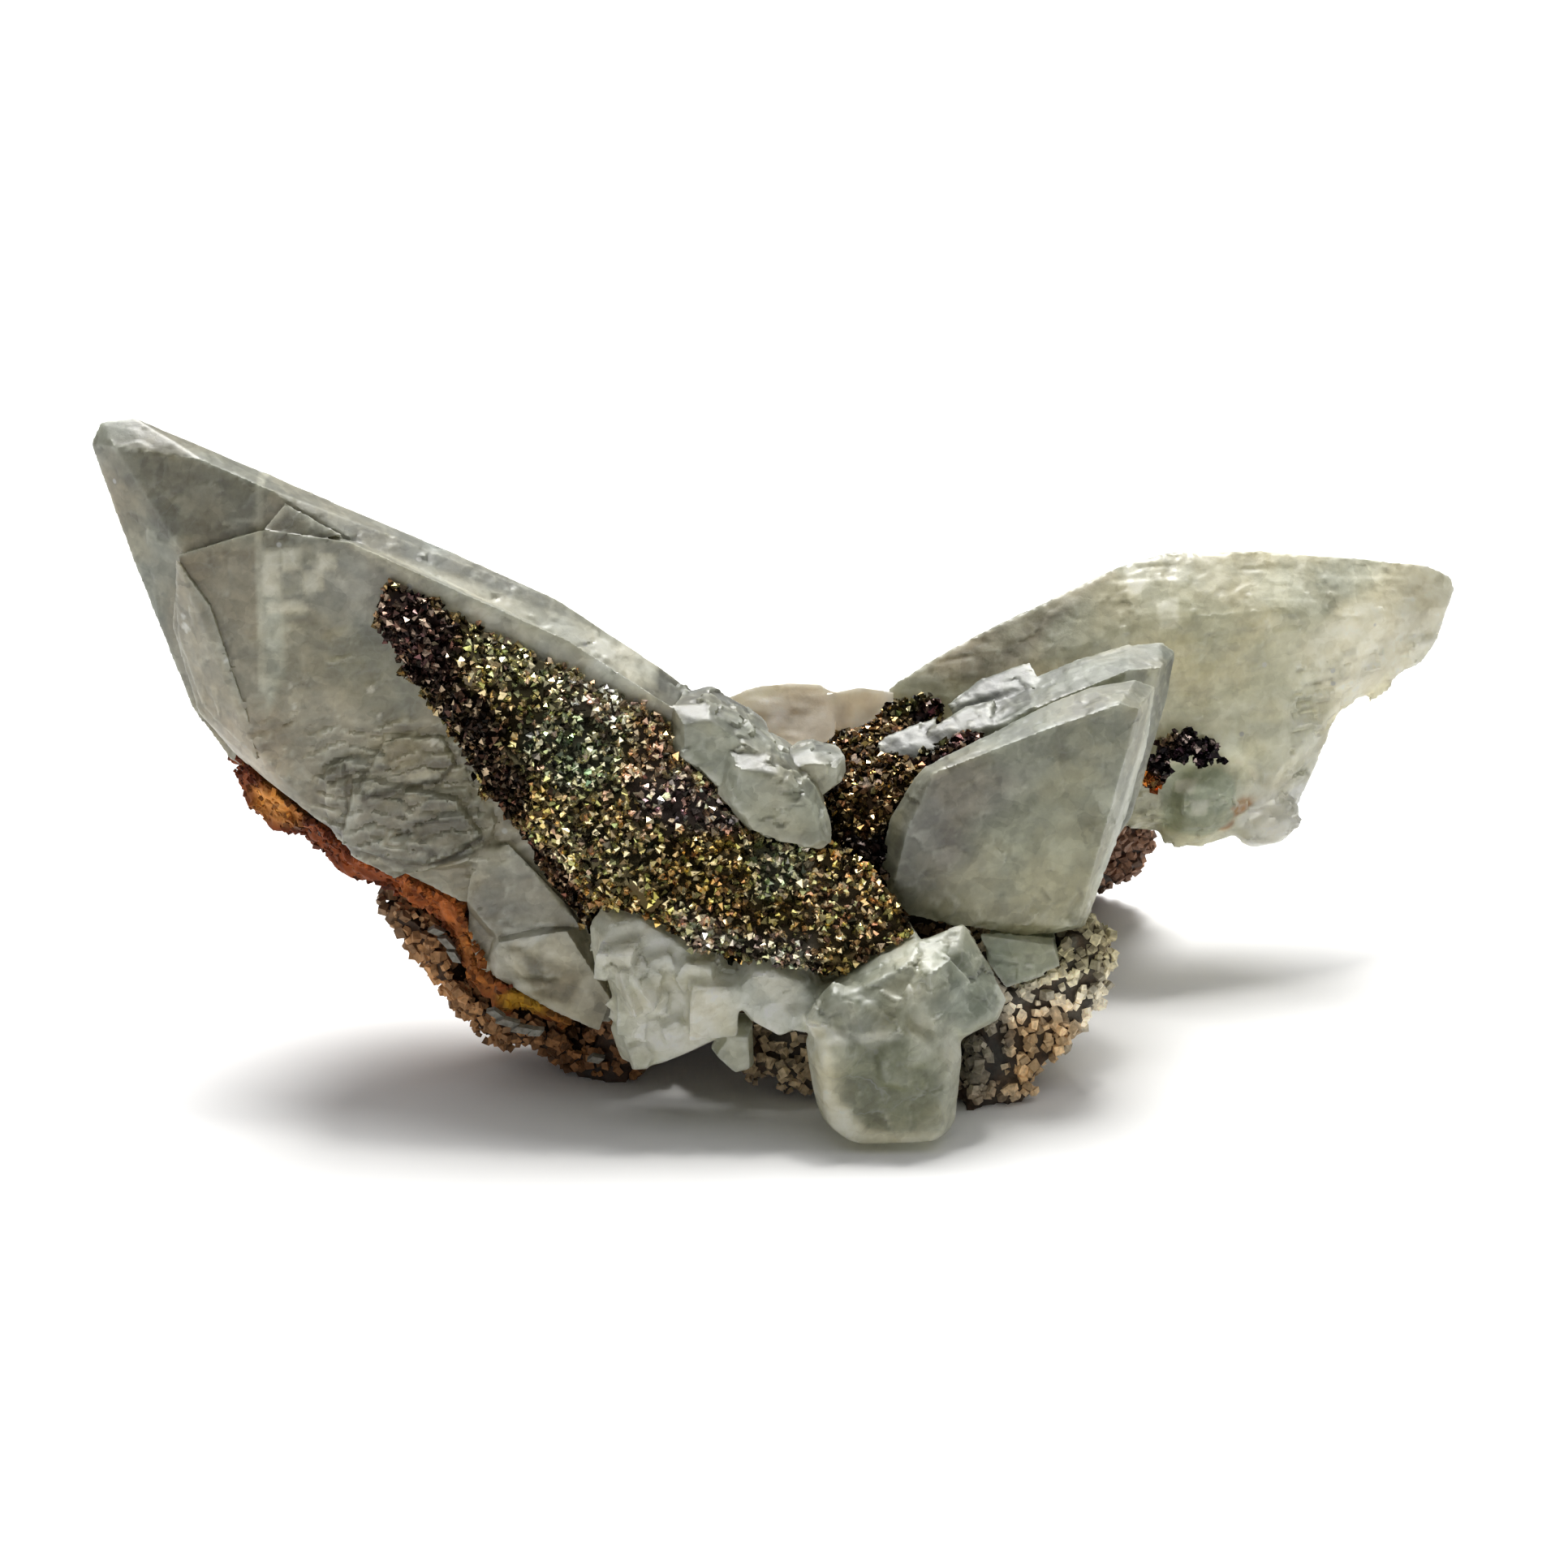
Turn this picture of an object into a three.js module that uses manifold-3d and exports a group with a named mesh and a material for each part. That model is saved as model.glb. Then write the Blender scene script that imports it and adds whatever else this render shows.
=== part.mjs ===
// A chalcopyrite specimen: brassy, tarnished chalcopyrite druse on dog-tooth calcite crystals,
// held together by a lump of host rock. Millimetres, +Z up, +X to the right, +Y away from the viewer.
//
// Every crystal is one or more convex chunks. A chunk is the list of its corners, each [across, deep, up],
// and the chunks of crystals that grew through each other are joined into one solid.
import * as THREE from "three";
import { ConvexGeometry } from "three/addons/geometries/ConvexGeometry.js";
import { MeshSurfaceSampler } from "three/addons/math/MeshSurfaceSampler.js";
import { mergeVertices } from "three/addons/utils/BufferGeometryUtils.js";
import Module from "manifold-3d";

const GAP = 0.3; // clearance that neighbouring pieces keep
const FLOOR = 0; // the feet are worn flat at this height
const DRUSE_GRAIN = [0.6, 1]; // radius of the smallest and largest chalcopyrite crystal
const ROCK_GRAIN = [0.9, 1.5]; // radius of the smallest and largest lump of the rock
const ROCK_LEDGE = [2.2, 3.6]; // the same for the ledges on its sheltered back
const CALCITE_KNOB = [1, 1.9]; // radius of the smallest and largest knob on the calcite

const wasm = await Module();
wasm.setup();

// ---------------------------------------------------------------- chunks and solids

// Repeatable random numbers from 0 to 1.
function seeded(seed) {
  let state = seed;
  return () => {
    state = (state + 0x6d2b79f5) | 0;
    let t = Math.imul(state ^ (state >>> 15), 1 | state);
    t = (t + Math.imul(t ^ (t >>> 7), 61 | t)) ^ t;
    return ((t ^ (t >>> 14)) >>> 0) / 4294967296;
  };
}

const between = (random, [low, high]) => low + (high - low) * random();

function toSolid(geometry) {
  const bare = new THREE.BufferGeometry();
  bare.setAttribute("position", geometry.getAttribute("position"));
  const merged = mergeVertices(bare, 1e-4);
  const mesh = new wasm.Mesh({
    numProp: 3,
    vertProperties: merged.getAttribute("position").array,
    triVerts: new Uint32Array(merged.index.array),
  });
  return new wasm.Manifold(mesh);
}

function toGeometry(solid) {
  const mesh = solid.getMesh();
  const geometry = new THREE.BufferGeometry();
  geometry.setAttribute("position", new THREE.BufferAttribute(new Float32Array(mesh.vertProperties), 3));
  geometry.setIndex(new THREE.BufferAttribute(new Uint32Array(mesh.triVerts), 1));
  return geometry;
}

const chunkGeometry = (corners) => new ConvexGeometry(corners.map((corner) => new THREE.Vector3(...corner)));

const SAME_FACE = 0.999; // cosine between the normals of triangles that lie in one face
const SHARP_CORNER = 0.35; // least cosine between a corner's direction and its faces for a plain mitre

// The corners of a convex geometry, moved out so far that every face moves out by room.
function withRoom(geometry, room) {
  const position = geometry.getAttribute("position");
  const normal = geometry.getAttribute("normal");
  const facesAt = new Map();
  for (let i = 0; i < position.count; i++) {
    const corner = new THREE.Vector3().fromBufferAttribute(position, i);
    const face = new THREE.Vector3().fromBufferAttribute(normal, i);
    const key = corner.toArray().map((v) => v.toFixed(4)).join();
    if (!facesAt.has(key)) facesAt.set(key, { corner, faces: [] });
    const { faces } = facesAt.get(key);
    if (!faces.some((other) => other.dot(face) > SAME_FACE)) faces.push(face);
  }
  const moved = (corner, way, by) => corner.clone().addScaledVector(way, by).toArray();
  return [...facesAt.values()].flatMap(({ corner, faces }) => {
    const outward = faces.reduce((sum, face) => sum.add(face), new THREE.Vector3()).normalize();
    const share = Math.min(...faces.map((face) => face.dot(outward)));
    return share > SHARP_CORNER
      ? [moved(corner, outward, room / share)]
      : faces.map((face) => moved(corner, face, room));
  });
}

const join = (solids) => wasm.Manifold.union(solids);

// The joined solid of some chunks. With room, every face moves out by about that much.
function grownTogether(chunks, room = 0) {
  return join(chunks.map((corners) => {
    const geometry = chunkGeometry(corners);
    return toSolid(room === 0 ? geometry : chunkGeometry(withRoom(geometry, room)));
  }));
}

// A chunk with its widest outline at the rim and a smaller, crowned face in front of it and behind it.
// The outline is a list of [across, up]; lean is how far the chunk tips back for each millimetre of height.
function crowned(outline, { front, rim, back, inset = 0.25, lean = 0 }) {
  const middle = [0, 1].map((k) => outline.reduce((sum, p) => sum + p[k], 0) / outline.length);
  const ring = (deep, share) =>
    outline.map(([x, z]) => {
      const across = middle[0] + (x - middle[0]) * share;
      const up = middle[1] + (z - middle[1]) * share;
      return [across, deep + lean * (up - middle[1]), up];
    });
  return [...ring(rim, 1), ...ring(front, 1 - inset), ...ring(back, 1 - inset)];
}

// A growth layer on a crystal's back: the back's corners drawn in towards their middle and raised.
function backLayer(corners, share, rise) {
  const middle = [0, 1, 2].map((k) => corners.reduce((sum, corner) => sum + corner[k], 0) / corners.length);
  const drawn = corners.map((corner) => corner.map((v, k) => middle[k] + (v - middle[k]) * share));
  return drawn.flatMap(([x, y, z]) => [[x, y + rise, z], [x, y - 2, z]]);
}

const TRIES_EACH = 20; // places tried for each piece before scatter gives up

// Count pieces that make({ position, normal, size, random }) grows on a solid, spread over the faces that
// on(normal, position) picks. Their sizes lie between the two in sizes.
function scatter(solid, { count, sizes, on }, random, make) {
  const geometry = toGeometry(solid).toNonIndexed();
  geometry.computeVertexNormals();
  const sampler = new MeshSurfaceSampler(new THREE.Mesh(geometry)).setRandomGenerator(random).build();
  const position = new THREE.Vector3();
  const normal = new THREE.Vector3();
  const made = [];
  for (let tries = 0; made.length < count && tries < count * TRIES_EACH; tries++) {
    sampler.sample(position, normal);
    if (!on(normal, position)) continue;
    const size = between(random, sizes);
    made.push(make({ position: position.clone(), normal: normal.clone(), size, random }));
  }
  return made;
}

const anyTurn = (random) => {
  const [a, b, c] = [random(), random(), random()].map((share) => share * 2 * Math.PI);
  return new THREE.Quaternion().setFromEuler(new THREE.Euler(a, b, c));
};

const KNOB_RINGS = [[0.75, 0.35], [1, -0.6]]; // radius and height of a knob's top and root, for size 1

// A calcite knob: a low five-sided stump with a tilted flat top, rooted in the face it stands on.
function calciteKnob({ position, normal, size, random }) {
  const outward = new THREE.Vector3(0, 0, 1);
  const tilt = new THREE.Vector3(random() - 0.5, random() - 0.5, random() - 0.5).multiplyScalar(0.7);
  const turn = new THREE.Quaternion().setFromUnitVectors(outward, tilt.add(normal).normalize());
  const corners = [];
  for (let side = 0; side < 5; side++) {
    const around = ((side + 0.6 * random()) / 5) * 2 * Math.PI;
    for (const [reach, up] of KNOB_RINGS) {
      const corner = new THREE.Vector3(reach * Math.cos(around), reach * Math.sin(around), up);
      corners.push(corner.multiplyScalar(size).applyQuaternion(turn).add(position).toArray());
    }
  }
  return corners;
}

// A druse crystal: a tetrahedron standing half out of the surface it grew on.
function druseCrystal({ position, size, random }) {
  const turn = anyTurn(random);
  const corners = [[1, 1, 1], [-1, -1, 1], [-1, 1, -1], [1, -1, -1]];
  return corners.map((c) =>
    new THREE.Vector3(...c).setLength(size).applyQuaternion(turn).add(position).toArray());
}

// A lump of rock: an uneven octahedron, sunk a little.
function rockLump({ position, normal, size, random }) {
  const sunk = position.addScaledVector(normal, -0.35 * size);
  const turn = anyTurn(random);
  const corners = [];
  for (let axis = 0; axis < 3; axis++) {
    for (const side of [-1, 1]) {
      const corner = new THREE.Vector3().setComponent(axis, side * size * (0.7 + 0.5 * random()));
      corners.push(corner.applyQuaternion(turn).add(sunk).toArray());
    }
  }
  return corners;
}

// ---------------------------------------------------------------- left calcite crystal

// How deep the front face of the growth layer lies at a place across and up.
const mainFace = (x, z) => 5.76 - 0.133 * x + 0.141 * z;

// A plate raised from the main face, from its [across, up] corners.
const facePlate = (height, outline) =>
  outline.flatMap(([x, z]) => [[x, mainFace(x, z) - height, z], [x, mainFace(x, z) + 1, z]]);

// The long dog-tooth: a six-sided point, a thick growth layer on its front face with a broken upper ledge,
// stepped growth plates on that layer, and two smaller crystals at its foot.
function dogTooth() {
  const back = [
    [-36.5, 23.5, 32.5], [-31, 27, 26], [-20, 27.5, 21], [-6, 24, 15], [-31, 25, 18],
    [-20, 23, 10], [-9, 19, 7],
  ];
  const point = [
    [-39.9, 19.8, 35.4], [-39.3, 20, 36.7], [-37.4, 20.2, 36.9], [-38.4, 18.4, 35.7], // chipped tip
    [-29.7, 18.8, 33.8], [-25, 18, 31.9], [-18.9, 17, 29.7], [-12.9, 16, 27.2], [-7.7, 15, 23.7], // top
    [-4.4, 14.5, 21.7],
    [-37.6, 18.5, 28.8], [-35.8, 17.8, 24.6], [-34.4, 17.2, 20.3], [-32.3, 16.9, 17.2], // outer edge
    [-26.5, 17, 15.2], [-22, 16, 12.8], [-16.5, 14, 9.6], [-10, 12, 5.5], // underside
    [-33.2, 17, 35.3], [-29.6, 15.9, 34], // upper rim of the point's dark face
    [-34.4, 16.1, 30], [-29.5, 15.6, 33], [-6.5, 11, 21.5], [-9.5, 11, 6.5], // front
    ...back,
  ];
  const layer = [
    [-34.6, 15.2, 30.2], [-29.5, 14.2, 32], [-24.6, 13.4, 31.5], [-18.6, 12.3, 29], // ledge
    [-12.2, 11.1, 26.4], [-6.2, 9.7, 22.8],
    [-35.3, 16.7, 25.4], [-34, 16.4, 20.3], [-31.8, 15.9, 17.8], // outer edge
    [-29, 12.9, 16.7], [-26.4, 11.8, 15], [-24, 11.2, 13.4], [-20.8, 10.5, 12.4], [-18.6, 10, 11],
    [-9, 9.6, 9.6], // lower edge
    [-30, 12.6, 19.1], // edge between the two front faces
    [-33, 18, 30], [-24, 17, 30.5], [-8, 14, 22], [-30, 18, 18.6], [-14, 14, 10.4], // root
  ];
  const heel = [ // the layer's end at the foot
    [-18.2, 9.8, 9.3], [-17.6, 9.4, 7.1], [-13.8, 8.6, 5.7], [-12.6, 8.3, 4.6], [-10, 7.9, 4.3],
    [-17.9, 10, 12], [-10, 9, 12], [-16.5, 13, 9], [-9, 12, 6],
  ];
  const spur = [ // small face that bridges the ledge
    [-29.5, 14.3, 32], [-28.4, 15.4, 33.2], [-25.1, 13.9, 31.8], [-28.6, 13.9, 31.2],
    [-28, 17, 31], [-25, 17, 30],
  ];
  const leftFace = [ // lighter growth on the outer front face
    [-34.7, 14.8, 30.1], [-32.7, 14, 27.4], [-30.7, 12.9, 21.2], [-30.2, 12.7, 18.6], [-33.6, 15.6, 20.8],
    [-35, 16.2, 25], [-33, 17, 28], [-31, 17, 20],
  ];
  const plates = [
    facePlate(0.35, [
      [-26.3, 18], [-24, 19.7], [-19.5, 20.7], [-16.4, 15.9], [-17.5, 13.4], [-22.7, 12.6], [-26, 14.6],
    ]),
    facePlate(0.7, [[-25.2, 17.4], [-20, 18.9], [-18.2, 17.3], [-17, 15.2], [-17.5, 14], [-22.4, 12.5],
      [-25, 13.6]]),
    facePlate(1.05, [[-23, 16.8], [-19.3, 17.4], [-17.9, 15.4], [-18.4, 13.6], [-22, 12.9], [-23.8, 14.3]]),
    facePlate(1.35, [[-22.1, 15.3], [-18.9, 15.8], [-17.6, 14.3], [-21.3, 12.9], [-22.6, 13.2]]),
  ];
  const footCrystals = [
    [
      [-18.2, 9.3, 11.4], [-17.7, 9.7, 14.2], [-15.7, 9.4, 14.7], [-12.6, 8.6, 11.6],
      [-11.6, 8, 10.2], [-16.2, 8.4, 9.2],
      [-18, 11, 9], [-17, 12, 14.4], [-11, 11, 9],
    ],
    [
      [-16.3, 7.9, 9.3], [-12.4, 7.2, 10.3], [-9.9, 6.8, 6.2], [-10.6, 6.9, 4.2],
      [-13.3, 7.6, 5.2], [-16.6, 8.8, 6.8],
      [-17.2, 9.6, 7.4], [-16.6, 10, 9.6], [-11, 10, 10], [-10.4, 10, 4.6], [-15, 11, 6.4],
    ],
  ];
  const backLayers = [backLayer(back, 0.85, 1.2), backLayer(back, 0.55, 2.2)];
  return [point, layer, heel, spur, leftFace, ...plates, ...footCrystals, ...backLayers];
}

// The blocky calcite that drapes from the dog-tooth over the upper edge of the chalcopyrite.
function drapedFoot() {
  return [
    crowned(
      [[-6.3, 22.9], [-4.4, 23.2], [-2.9, 22.3], [-0.3, 20.7], [-1.2, 18.6], [-3, 18],
      [-4.8, 19.6], [-6.3, 20.6]],
      { front: 7.8, rim: 9.2, back: 14, lean: 0.3 },
    ),
    crowned(
      [[-3.3, 21.2], [-0.3, 20.6], [1.8, 18.9], [2.6, 17.2], [2.8, 15.9], [2, 15.5], [-0.4, 16],
      [-2.2, 16.7], [-3.8, 18.6]],
      { front: 5.8, rim: 7.2, back: 13, lean: 0.3 },
    ),
    crowned(
      [[0.2, 19.9], [1.6, 20.2], [3.4, 19.8], [3.4, 18.5], [2.4, 17.7], [1, 17.6]],
      { front: 8.8, rim: 10.2, back: 13 },
    ),
  ];
}

// ---------------------------------------------------------------- right calcite crystals

// The broad broken crystal at the back right, with its chipped lower edge.
function rightCalcite() {
  const back = [
    [12, 33, 18], [20, 38, 21.5], [30, 41, 21], [37, 41, 19.5], [33, 39, 15], [22, 37, 12], [12, 33, 12],
  ];
  const blade = [
    [6.1, 27, 18], [9, 28, 19.7], [12.9, 29, 21.5], [16.4, 30, 22.9], [20.4, 31.5, 24.4], // top edge
    [23.4, 33, 24.8],
    [29, 34, 24.6], [34.1, 35, 23.9], [39.8, 36.5, 22.9], [41.3, 37, 22.1], [41.6, 37, 21.2],
    [41, 36, 20.4], [40.2, 35.5, 17.9], [39.2, 35, 16.9], [37.8, 34.5, 16.5], [34.8, 33, 15], // lower edge
    [14, 28, 12], [8, 27, 13],
    [11, 26.4, 17.4], [16, 27.4, 20], [22, 28.8, 21.8], [29, 30.2, 22], [36, 32.6, 20.6], // front
    [34, 31.4, 17], [22, 27.6, 13.5],
    ...back,
  ];
  const lower = [
    [33.8, 33, 13.9], [33.1, 32.5, 12.2], [32.2, 32, 11.2], [32.2, 32, 9.4], [31.2, 31.5, 8.4],
    [28, 30, 7.6], [23.5, 30, 7.8],
    [20, 29, 8.4], [15, 28.5, 10], [14, 27.6, 14], [34.4, 31.8, 16], [31, 30.6, 19], [20, 28, 18.5],
    [30, 28.8, 12], [29, 28.6, 9.4], [23, 27.8, 9.6], [18, 27, 12],
    [30, 36, 12], [27, 36, 9], [18, 36, 11],
  ];
  const creamLobe = crowned(
    [[27.4, 8.6], [29.4, 10.4], [31.7, 9.9], [31.8, 8.5], [30.7, 7.3], [28.7, 6.9], [27.7, 7.5]],
    { front: 28.1, rim: 29.4, back: 33, inset: 0.45 },
  );
  const clearLump = crowned(
    [[22.2, 10.7], [22.9, 13.2], [25.2, 14], [28.4, 13], [29.4, 10.4], [28, 8], [25.6, 7],
    [23.2, 7.2]],
    { front: 27.2, rim: 28.9, back: 32, inset: 0.6 },
  );
  const chips = [
    [[36.4, 33.6, 16.2], [37.9, 34.5, 16.6], [37.5, 34.2, 15.5], [36.2, 33.5, 14.9],
    [35, 34, 16.5], [37, 36, 17]],
    [[33, 32.2, 15.5], [35.4, 33, 15.6], [34.6, 32.9, 14.8], [33.7, 32.8, 13.9], [32, 32, 14],
    [34, 35, 15]],
    [[26, 29.6, 8], [27.9, 29.7, 7.9], [27.2, 29.9, 7.1], [26.4, 29.8, 7.4], [26, 33, 8], [27.5, 33, 8]],
    [[38.8, 34.2, 18.6], [40.5, 35.4, 18.6], [39.6, 35, 17], [38.4, 34.2, 17.2], [38, 36, 18],
    [40, 36, 18.4]],
  ];
  return [blade, lower, creamLobe, clearLump, ...chips, backLayer(back, 0.75, 0.9)];
}

// The peach crystals that close the valley at the back and run down behind it.
function peachCalcite() {
  return [
    [
      [-6.4, 27, 14.6], [-3, 28, 16.4], [-2, 32, 15], [-6, 32.6, 13], [-7.4, 29, 13],
      [-7, 27.6, 10], [-6.6, 33, 10], [-2, 33.4, 10], [-2, 27, 10],
    ],
    [
      [-1, 31, 15.4], [3.4, 31, 15.8], [4, 34, 13.6], [0.6, 35.6, 12.4], [-2.2, 34, 13],
      [-2, 35, 9], [1, 36.6, 9], [4.6, 35, 9], [0, 30, 10], [4, 30, 10],
    ],
    [
      [4.4, 30, 16], [8.4, 30.4, 15.4], [9.4, 33.6, 13], [6, 34.6, 12.6],
      [4, 33, 9.6], [6.4, 35.6, 9.2], [9.6, 34.4, 9.4], [5, 30, 10], [9, 30, 10],
    ],
    [
      [-3.6, 26, 17.8], [-1.8, 26.4, 18.4], [0.2, 26.6, 18.6], [2.1, 26.6, 18.5], [3.1, 26.4, 18],
      [-3.4, 25, 16.6], [-0.5, 24, 15.4], [3, 24, 15.4], [-3, 24.5, 11], [3.4, 24, 11],
      [-2.6, 31, 15.5], [2.6, 31.5, 15.8], [-2, 31, 11], [3, 31, 11],
    ],
    [
      [2.4, 26.2, 18], [4.6, 26.4, 18.4], [6.6, 26.6, 18], [2.4, 24.4, 15], [6.8, 24.6, 15],
      [2, 25, 11], [7, 25, 11], [3, 31.5, 16], [7, 31, 16], [7, 31, 11], [3, 31, 11],
    ],
  ];
}

// ---------------------------------------------------------------- leaf-shaped calcite pair

// Two parallel blades with flat fronts and bevelled upper edges, grown from one root.
function leafPair() {
  const frontLeaf = [
    [5.5, 9, 13.7], [6, 9.5, 16.2], [7.4, 10.4, 18.4], [8, 10.8, 18.9], [12.3, 12.5, 20.6], // rim
    [15.1, 13.3, 21.8],
    [17.4, 14, 22.6], [20.2, 14.8, 22.8], [21.4, 15, 22.3], [20.9, 14.3, 18.9], [20, 13.4, 15.7],
    [18.8, 12.4, 12.6],
    [17.4, 11, 9.1], [15.6, 10, 9], [13.7, 9.5, 9.1], [9.9, 8.6, 10.1], [7.1, 8.4, 10.8], [6, 8.5, 12],
    [6.3, 8, 13], [7, 8.3, 16], [8.5, 9, 19.2], [14.9, 10.2, 21.4], [19.1, 11.1, 22.6], // front face
    [20.2, 11.4, 22.2], [16.8, 9.3, 9.8],
    [8.5, 15, 12.5], [12, 16.5, 11], [17, 16.5, 11], [17.6, 16.5, 16], // back
  ];
  const rearLeaf = [
    [10.2, 18.8, 19.3], [13, 19.4, 20.6], [17.3, 20.4, 22.2], [20.2, 20.9, 22.9], // rim
    [22.2, 21.3, 22.9], [23, 21.4, 22.3],
    [22.6, 20.5, 20.2], [21.3, 19, 15.7], [20.4, 18, 13.2], [18.6, 17.4, 10.4],
    [10.5, 15.2, 19], [15.7, 16.2, 21.1], [19.9, 17.1, 22.6], [21.9, 17.9, 22.5], // front face
    [18, 15.6, 10.5], [10.5, 14.4, 11],
    [11, 21.5, 12], [18.6, 22.5, 12], [21, 23, 19],
  ];
  return [frontLeaf, rearLeaf];
}

// The low crest of small crystals that runs on from the rear blade to the left.
function leafCrest() {
  return [
    [
      [5.1, 15, 18.3], [5.6, 16, 19], [7.7, 17, 19.4], [9, 17.6, 19.7],
      [8.8, 14.8, 18.6], [5.4, 14, 17.4], [8.5, 14, 17.4], [8, 17.5, 17],
    ],
    [
      [8.2, 16, 19.3], [10.6, 18, 20.2], [12.4, 18.2, 20.6], [12, 15.6, 19.8],
      [8.6, 14.4, 18.2], [12, 14.8, 17.6], [10, 18.6, 17.5],
    ],
    [
      [9.4, 18.6, 20], [11.4, 20.4, 21], [14.4, 21, 21.9], [15, 19, 21.2],
      [10.4, 17, 18.5], [15, 17, 18.5], [12, 21.5, 18.5],
    ],
  ];
}

// ---------------------------------------------------------------- front calcite

// The knobbly cluster along the front foot: the left lobe, the middle lobe and the big right lobe,
// whose rounded lower end stands on the floor.
function frontLobes() {
  return [
    crowned( // left lobe, top
      [[-11, 11.2], [-10.2, 12.3], [-8.3, 12.7], [-6.9, 11.9], [-5.3, 10.8], [-4, 10],
      [-5.3, 8.6], [-8.1, 8], [-10.7, 9]],
      { front: 3.8, rim: 5.6, back: 9, lean: 0.3 },
    ),
    crowned( // left lobe, foot
      [[-5.3, 10.6], [-4, 10], [-2.9, 9.3], [-2.8, 5.2], [-4.9, 4.2], [-6.8, 3.4], [-8.2, 3.1],
      [-9.3, 3.6], [-9.9, 5.4],
        [-8.9, 7.2], [-7.6, 8.9]],
      { front: 3, rim: 4.8, back: 8.5, lean: 0.15 },
    ),
    crowned( // tag between the left and middle lobes
      [[-3.2, 5.6], [-1.8, 5.5], [-1.7, 2.9], [-2.8, 2.6], [-4.2, 4]],
      { front: 3.8, rim: 5, back: 7.5 },
    ),
    crowned( // middle lobe
      [[-3, 9], [-1.9, 10.1], [-1, 10.3], [1.6, 9.2], [2.4, 8], [1.6, 6.1], [-0.2, 5.4],
      [-1.9, 6.3], [-3, 7.6]],
      { front: 2.4, rim: 4, back: 7.5, lean: 0.2 },
    ),
    [ // right lobe, cleavage rhomb
      [7.5, 3.8, 11], [10.2, 5.2, 11.5], [12.6, 4.4, 7.2], [12.1, 3.9, 6.2], [10, 3.2, 5.3],
      [7.8, 2, 10.2], [9.9, 3.4, 10.6], [11.9, 2.7, 7], [10.4, 1.8, 6.2], [6.6, 1.6, 7.4],
      [7, 8, 9], [11, 8.5, 9], [11, 8, 6.5],
    ],
    crowned( // right lobe, middle
      [[1.6, 8.2], [3.2, 8.9], [5.4, 10], [7.6, 10.9], [9.2, 8.2], [10, 5], [2.4, 5], [1.1, 6.1]],
      { front: 1.2, rim: 3.2, back: 8.5, inset: 0.2, lean: 0.3 },
    ),
    crowned( // right lobe, foot
      [[1.2, 5.6], [2.4, 6.8], [9, 6.6], [10.1, 5], [9.7, 0.9], [9.1, 0.2], [4.2, FLOOR],
      [3.2, 0.3], [2, 1.3], [1.6, 3]],
      { front: -0.4, rim: 1.8, back: 8, inset: 0.18, lean: 0.2 },
    ),
  ];
}

function frontCalcite() {
  const lobes = frontLobes();
  const upperFront = (normal, place) => normal.y < -0.5 && place.z > 4.5 && Math.abs(place.x) < 9;
  const knobs = { count: 20, sizes: CALCITE_KNOB, on: upperFront };
  return [...lobes, ...scatter(grownTogether(lobes), knobs, seeded(37), calciteKnob)];
}

// A single cleavage block caught under the leaf crystals.
function calciteBlock() {
  return [[
    [11.2, 8, 9.7], [15.4, 8.2, 9], [15.8, 8, 7.8], [12.7, 7.6, 6.6], [11.6, 7.8, 8.2],
    [12, 10.6, 9.4], [15.6, 10.8, 9], [15.6, 10.4, 7.4], [12.8, 10.2, 6.8],
  ]];
}

// ---------------------------------------------------------------- chalcopyrite

// The blade: a long three-sided crystal lying on the left calcite, wholly coated in druse.
function chalcopyriteBlade() {
  return [[
    [-22.3, 12.4, 29.6], [-23.3, 12.4, 26.8], [-22.7, 11, 28.5], // blunt tip
    [-18.4, 11.6, 27.6], [-14.8, 11, 26.1], [-10.4, 10.4, 24.2], [-6.2, 9.6, 22.4], // upper edge
    [-3, 9, 19.7], [1.6, 7.6, 16.4], [5.4, 6.4, 14], [7.6, 5, 10.6],
    [-20.4, 9.6, 26.6], [-16.8, 7.6, 22.2], [-13, 5.8, 17.6], [-10, 4.6, 13.6], [-4.8, 3.2, 11.6], // ridge
    [1.5, 2.8, 10.2],
    [-21.3, 12, 24.2], [-18.6, 11.2, 20.8], [-15.1, 10, 14.6], [-11.2, 8.2, 10.2], [-3, 4.4, 9.2],
    [3.4, 3.4, 9.2], // lower edge
    [-8, 13, 18], [-10, 11, 10], [5, 10, 10], [-22.6, 14, 28], // root
  ]];
}

// The saddle: the druse that lines the valley between the draped foot and the leaf crystals.
function chalcopyriteSaddle() {
  return [
    [
      [2.6, 11.5, 17], [4, 16.5, 18.6], [6, 20, 18.8], [8.4, 21, 18.4], [6.8, 10, 17], [7.2, 11, 18.1],
      [5.6, 8.4, 14.4], [3.8, 8.4, 14.4], [5.8, 8, 12], [2, 12, 11], [9, 18, 11], [1, 22, 15.5],
      [8, 23, 16],
    ],
    [ // bed of the valley, behind the draped foot
      [-5.4, 15, 13.6], [-4.6, 24, 12.8], [4, 25, 14.4], [3, 14, 15.6], [-1, 13.4, 15], [-1, 20, 14.8],
      [-5.6, 15, 11], [4, 25, 11], [3, 14, 10], [-4.6, 24, 10],
    ],
    [[5.4, 19.4, 19], [6.4, 20.4, 19.6], [8.8, 21.6, 19.6], [9.4, 21, 18.9], [5.8, 18, 17.8], // rear arm
    [9, 22, 17]],
    [ // front arm
      [6.9, 11.4, 18], [7.6, 12.4, 18.9], [9.3, 14, 19.3], [11.8, 15.8, 20],
      [11.4, 14.4, 19.4], [8.2, 11.6, 18.2], [9.5, 15, 17], [7, 12, 16.6],
    ],
  ];
}

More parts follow.
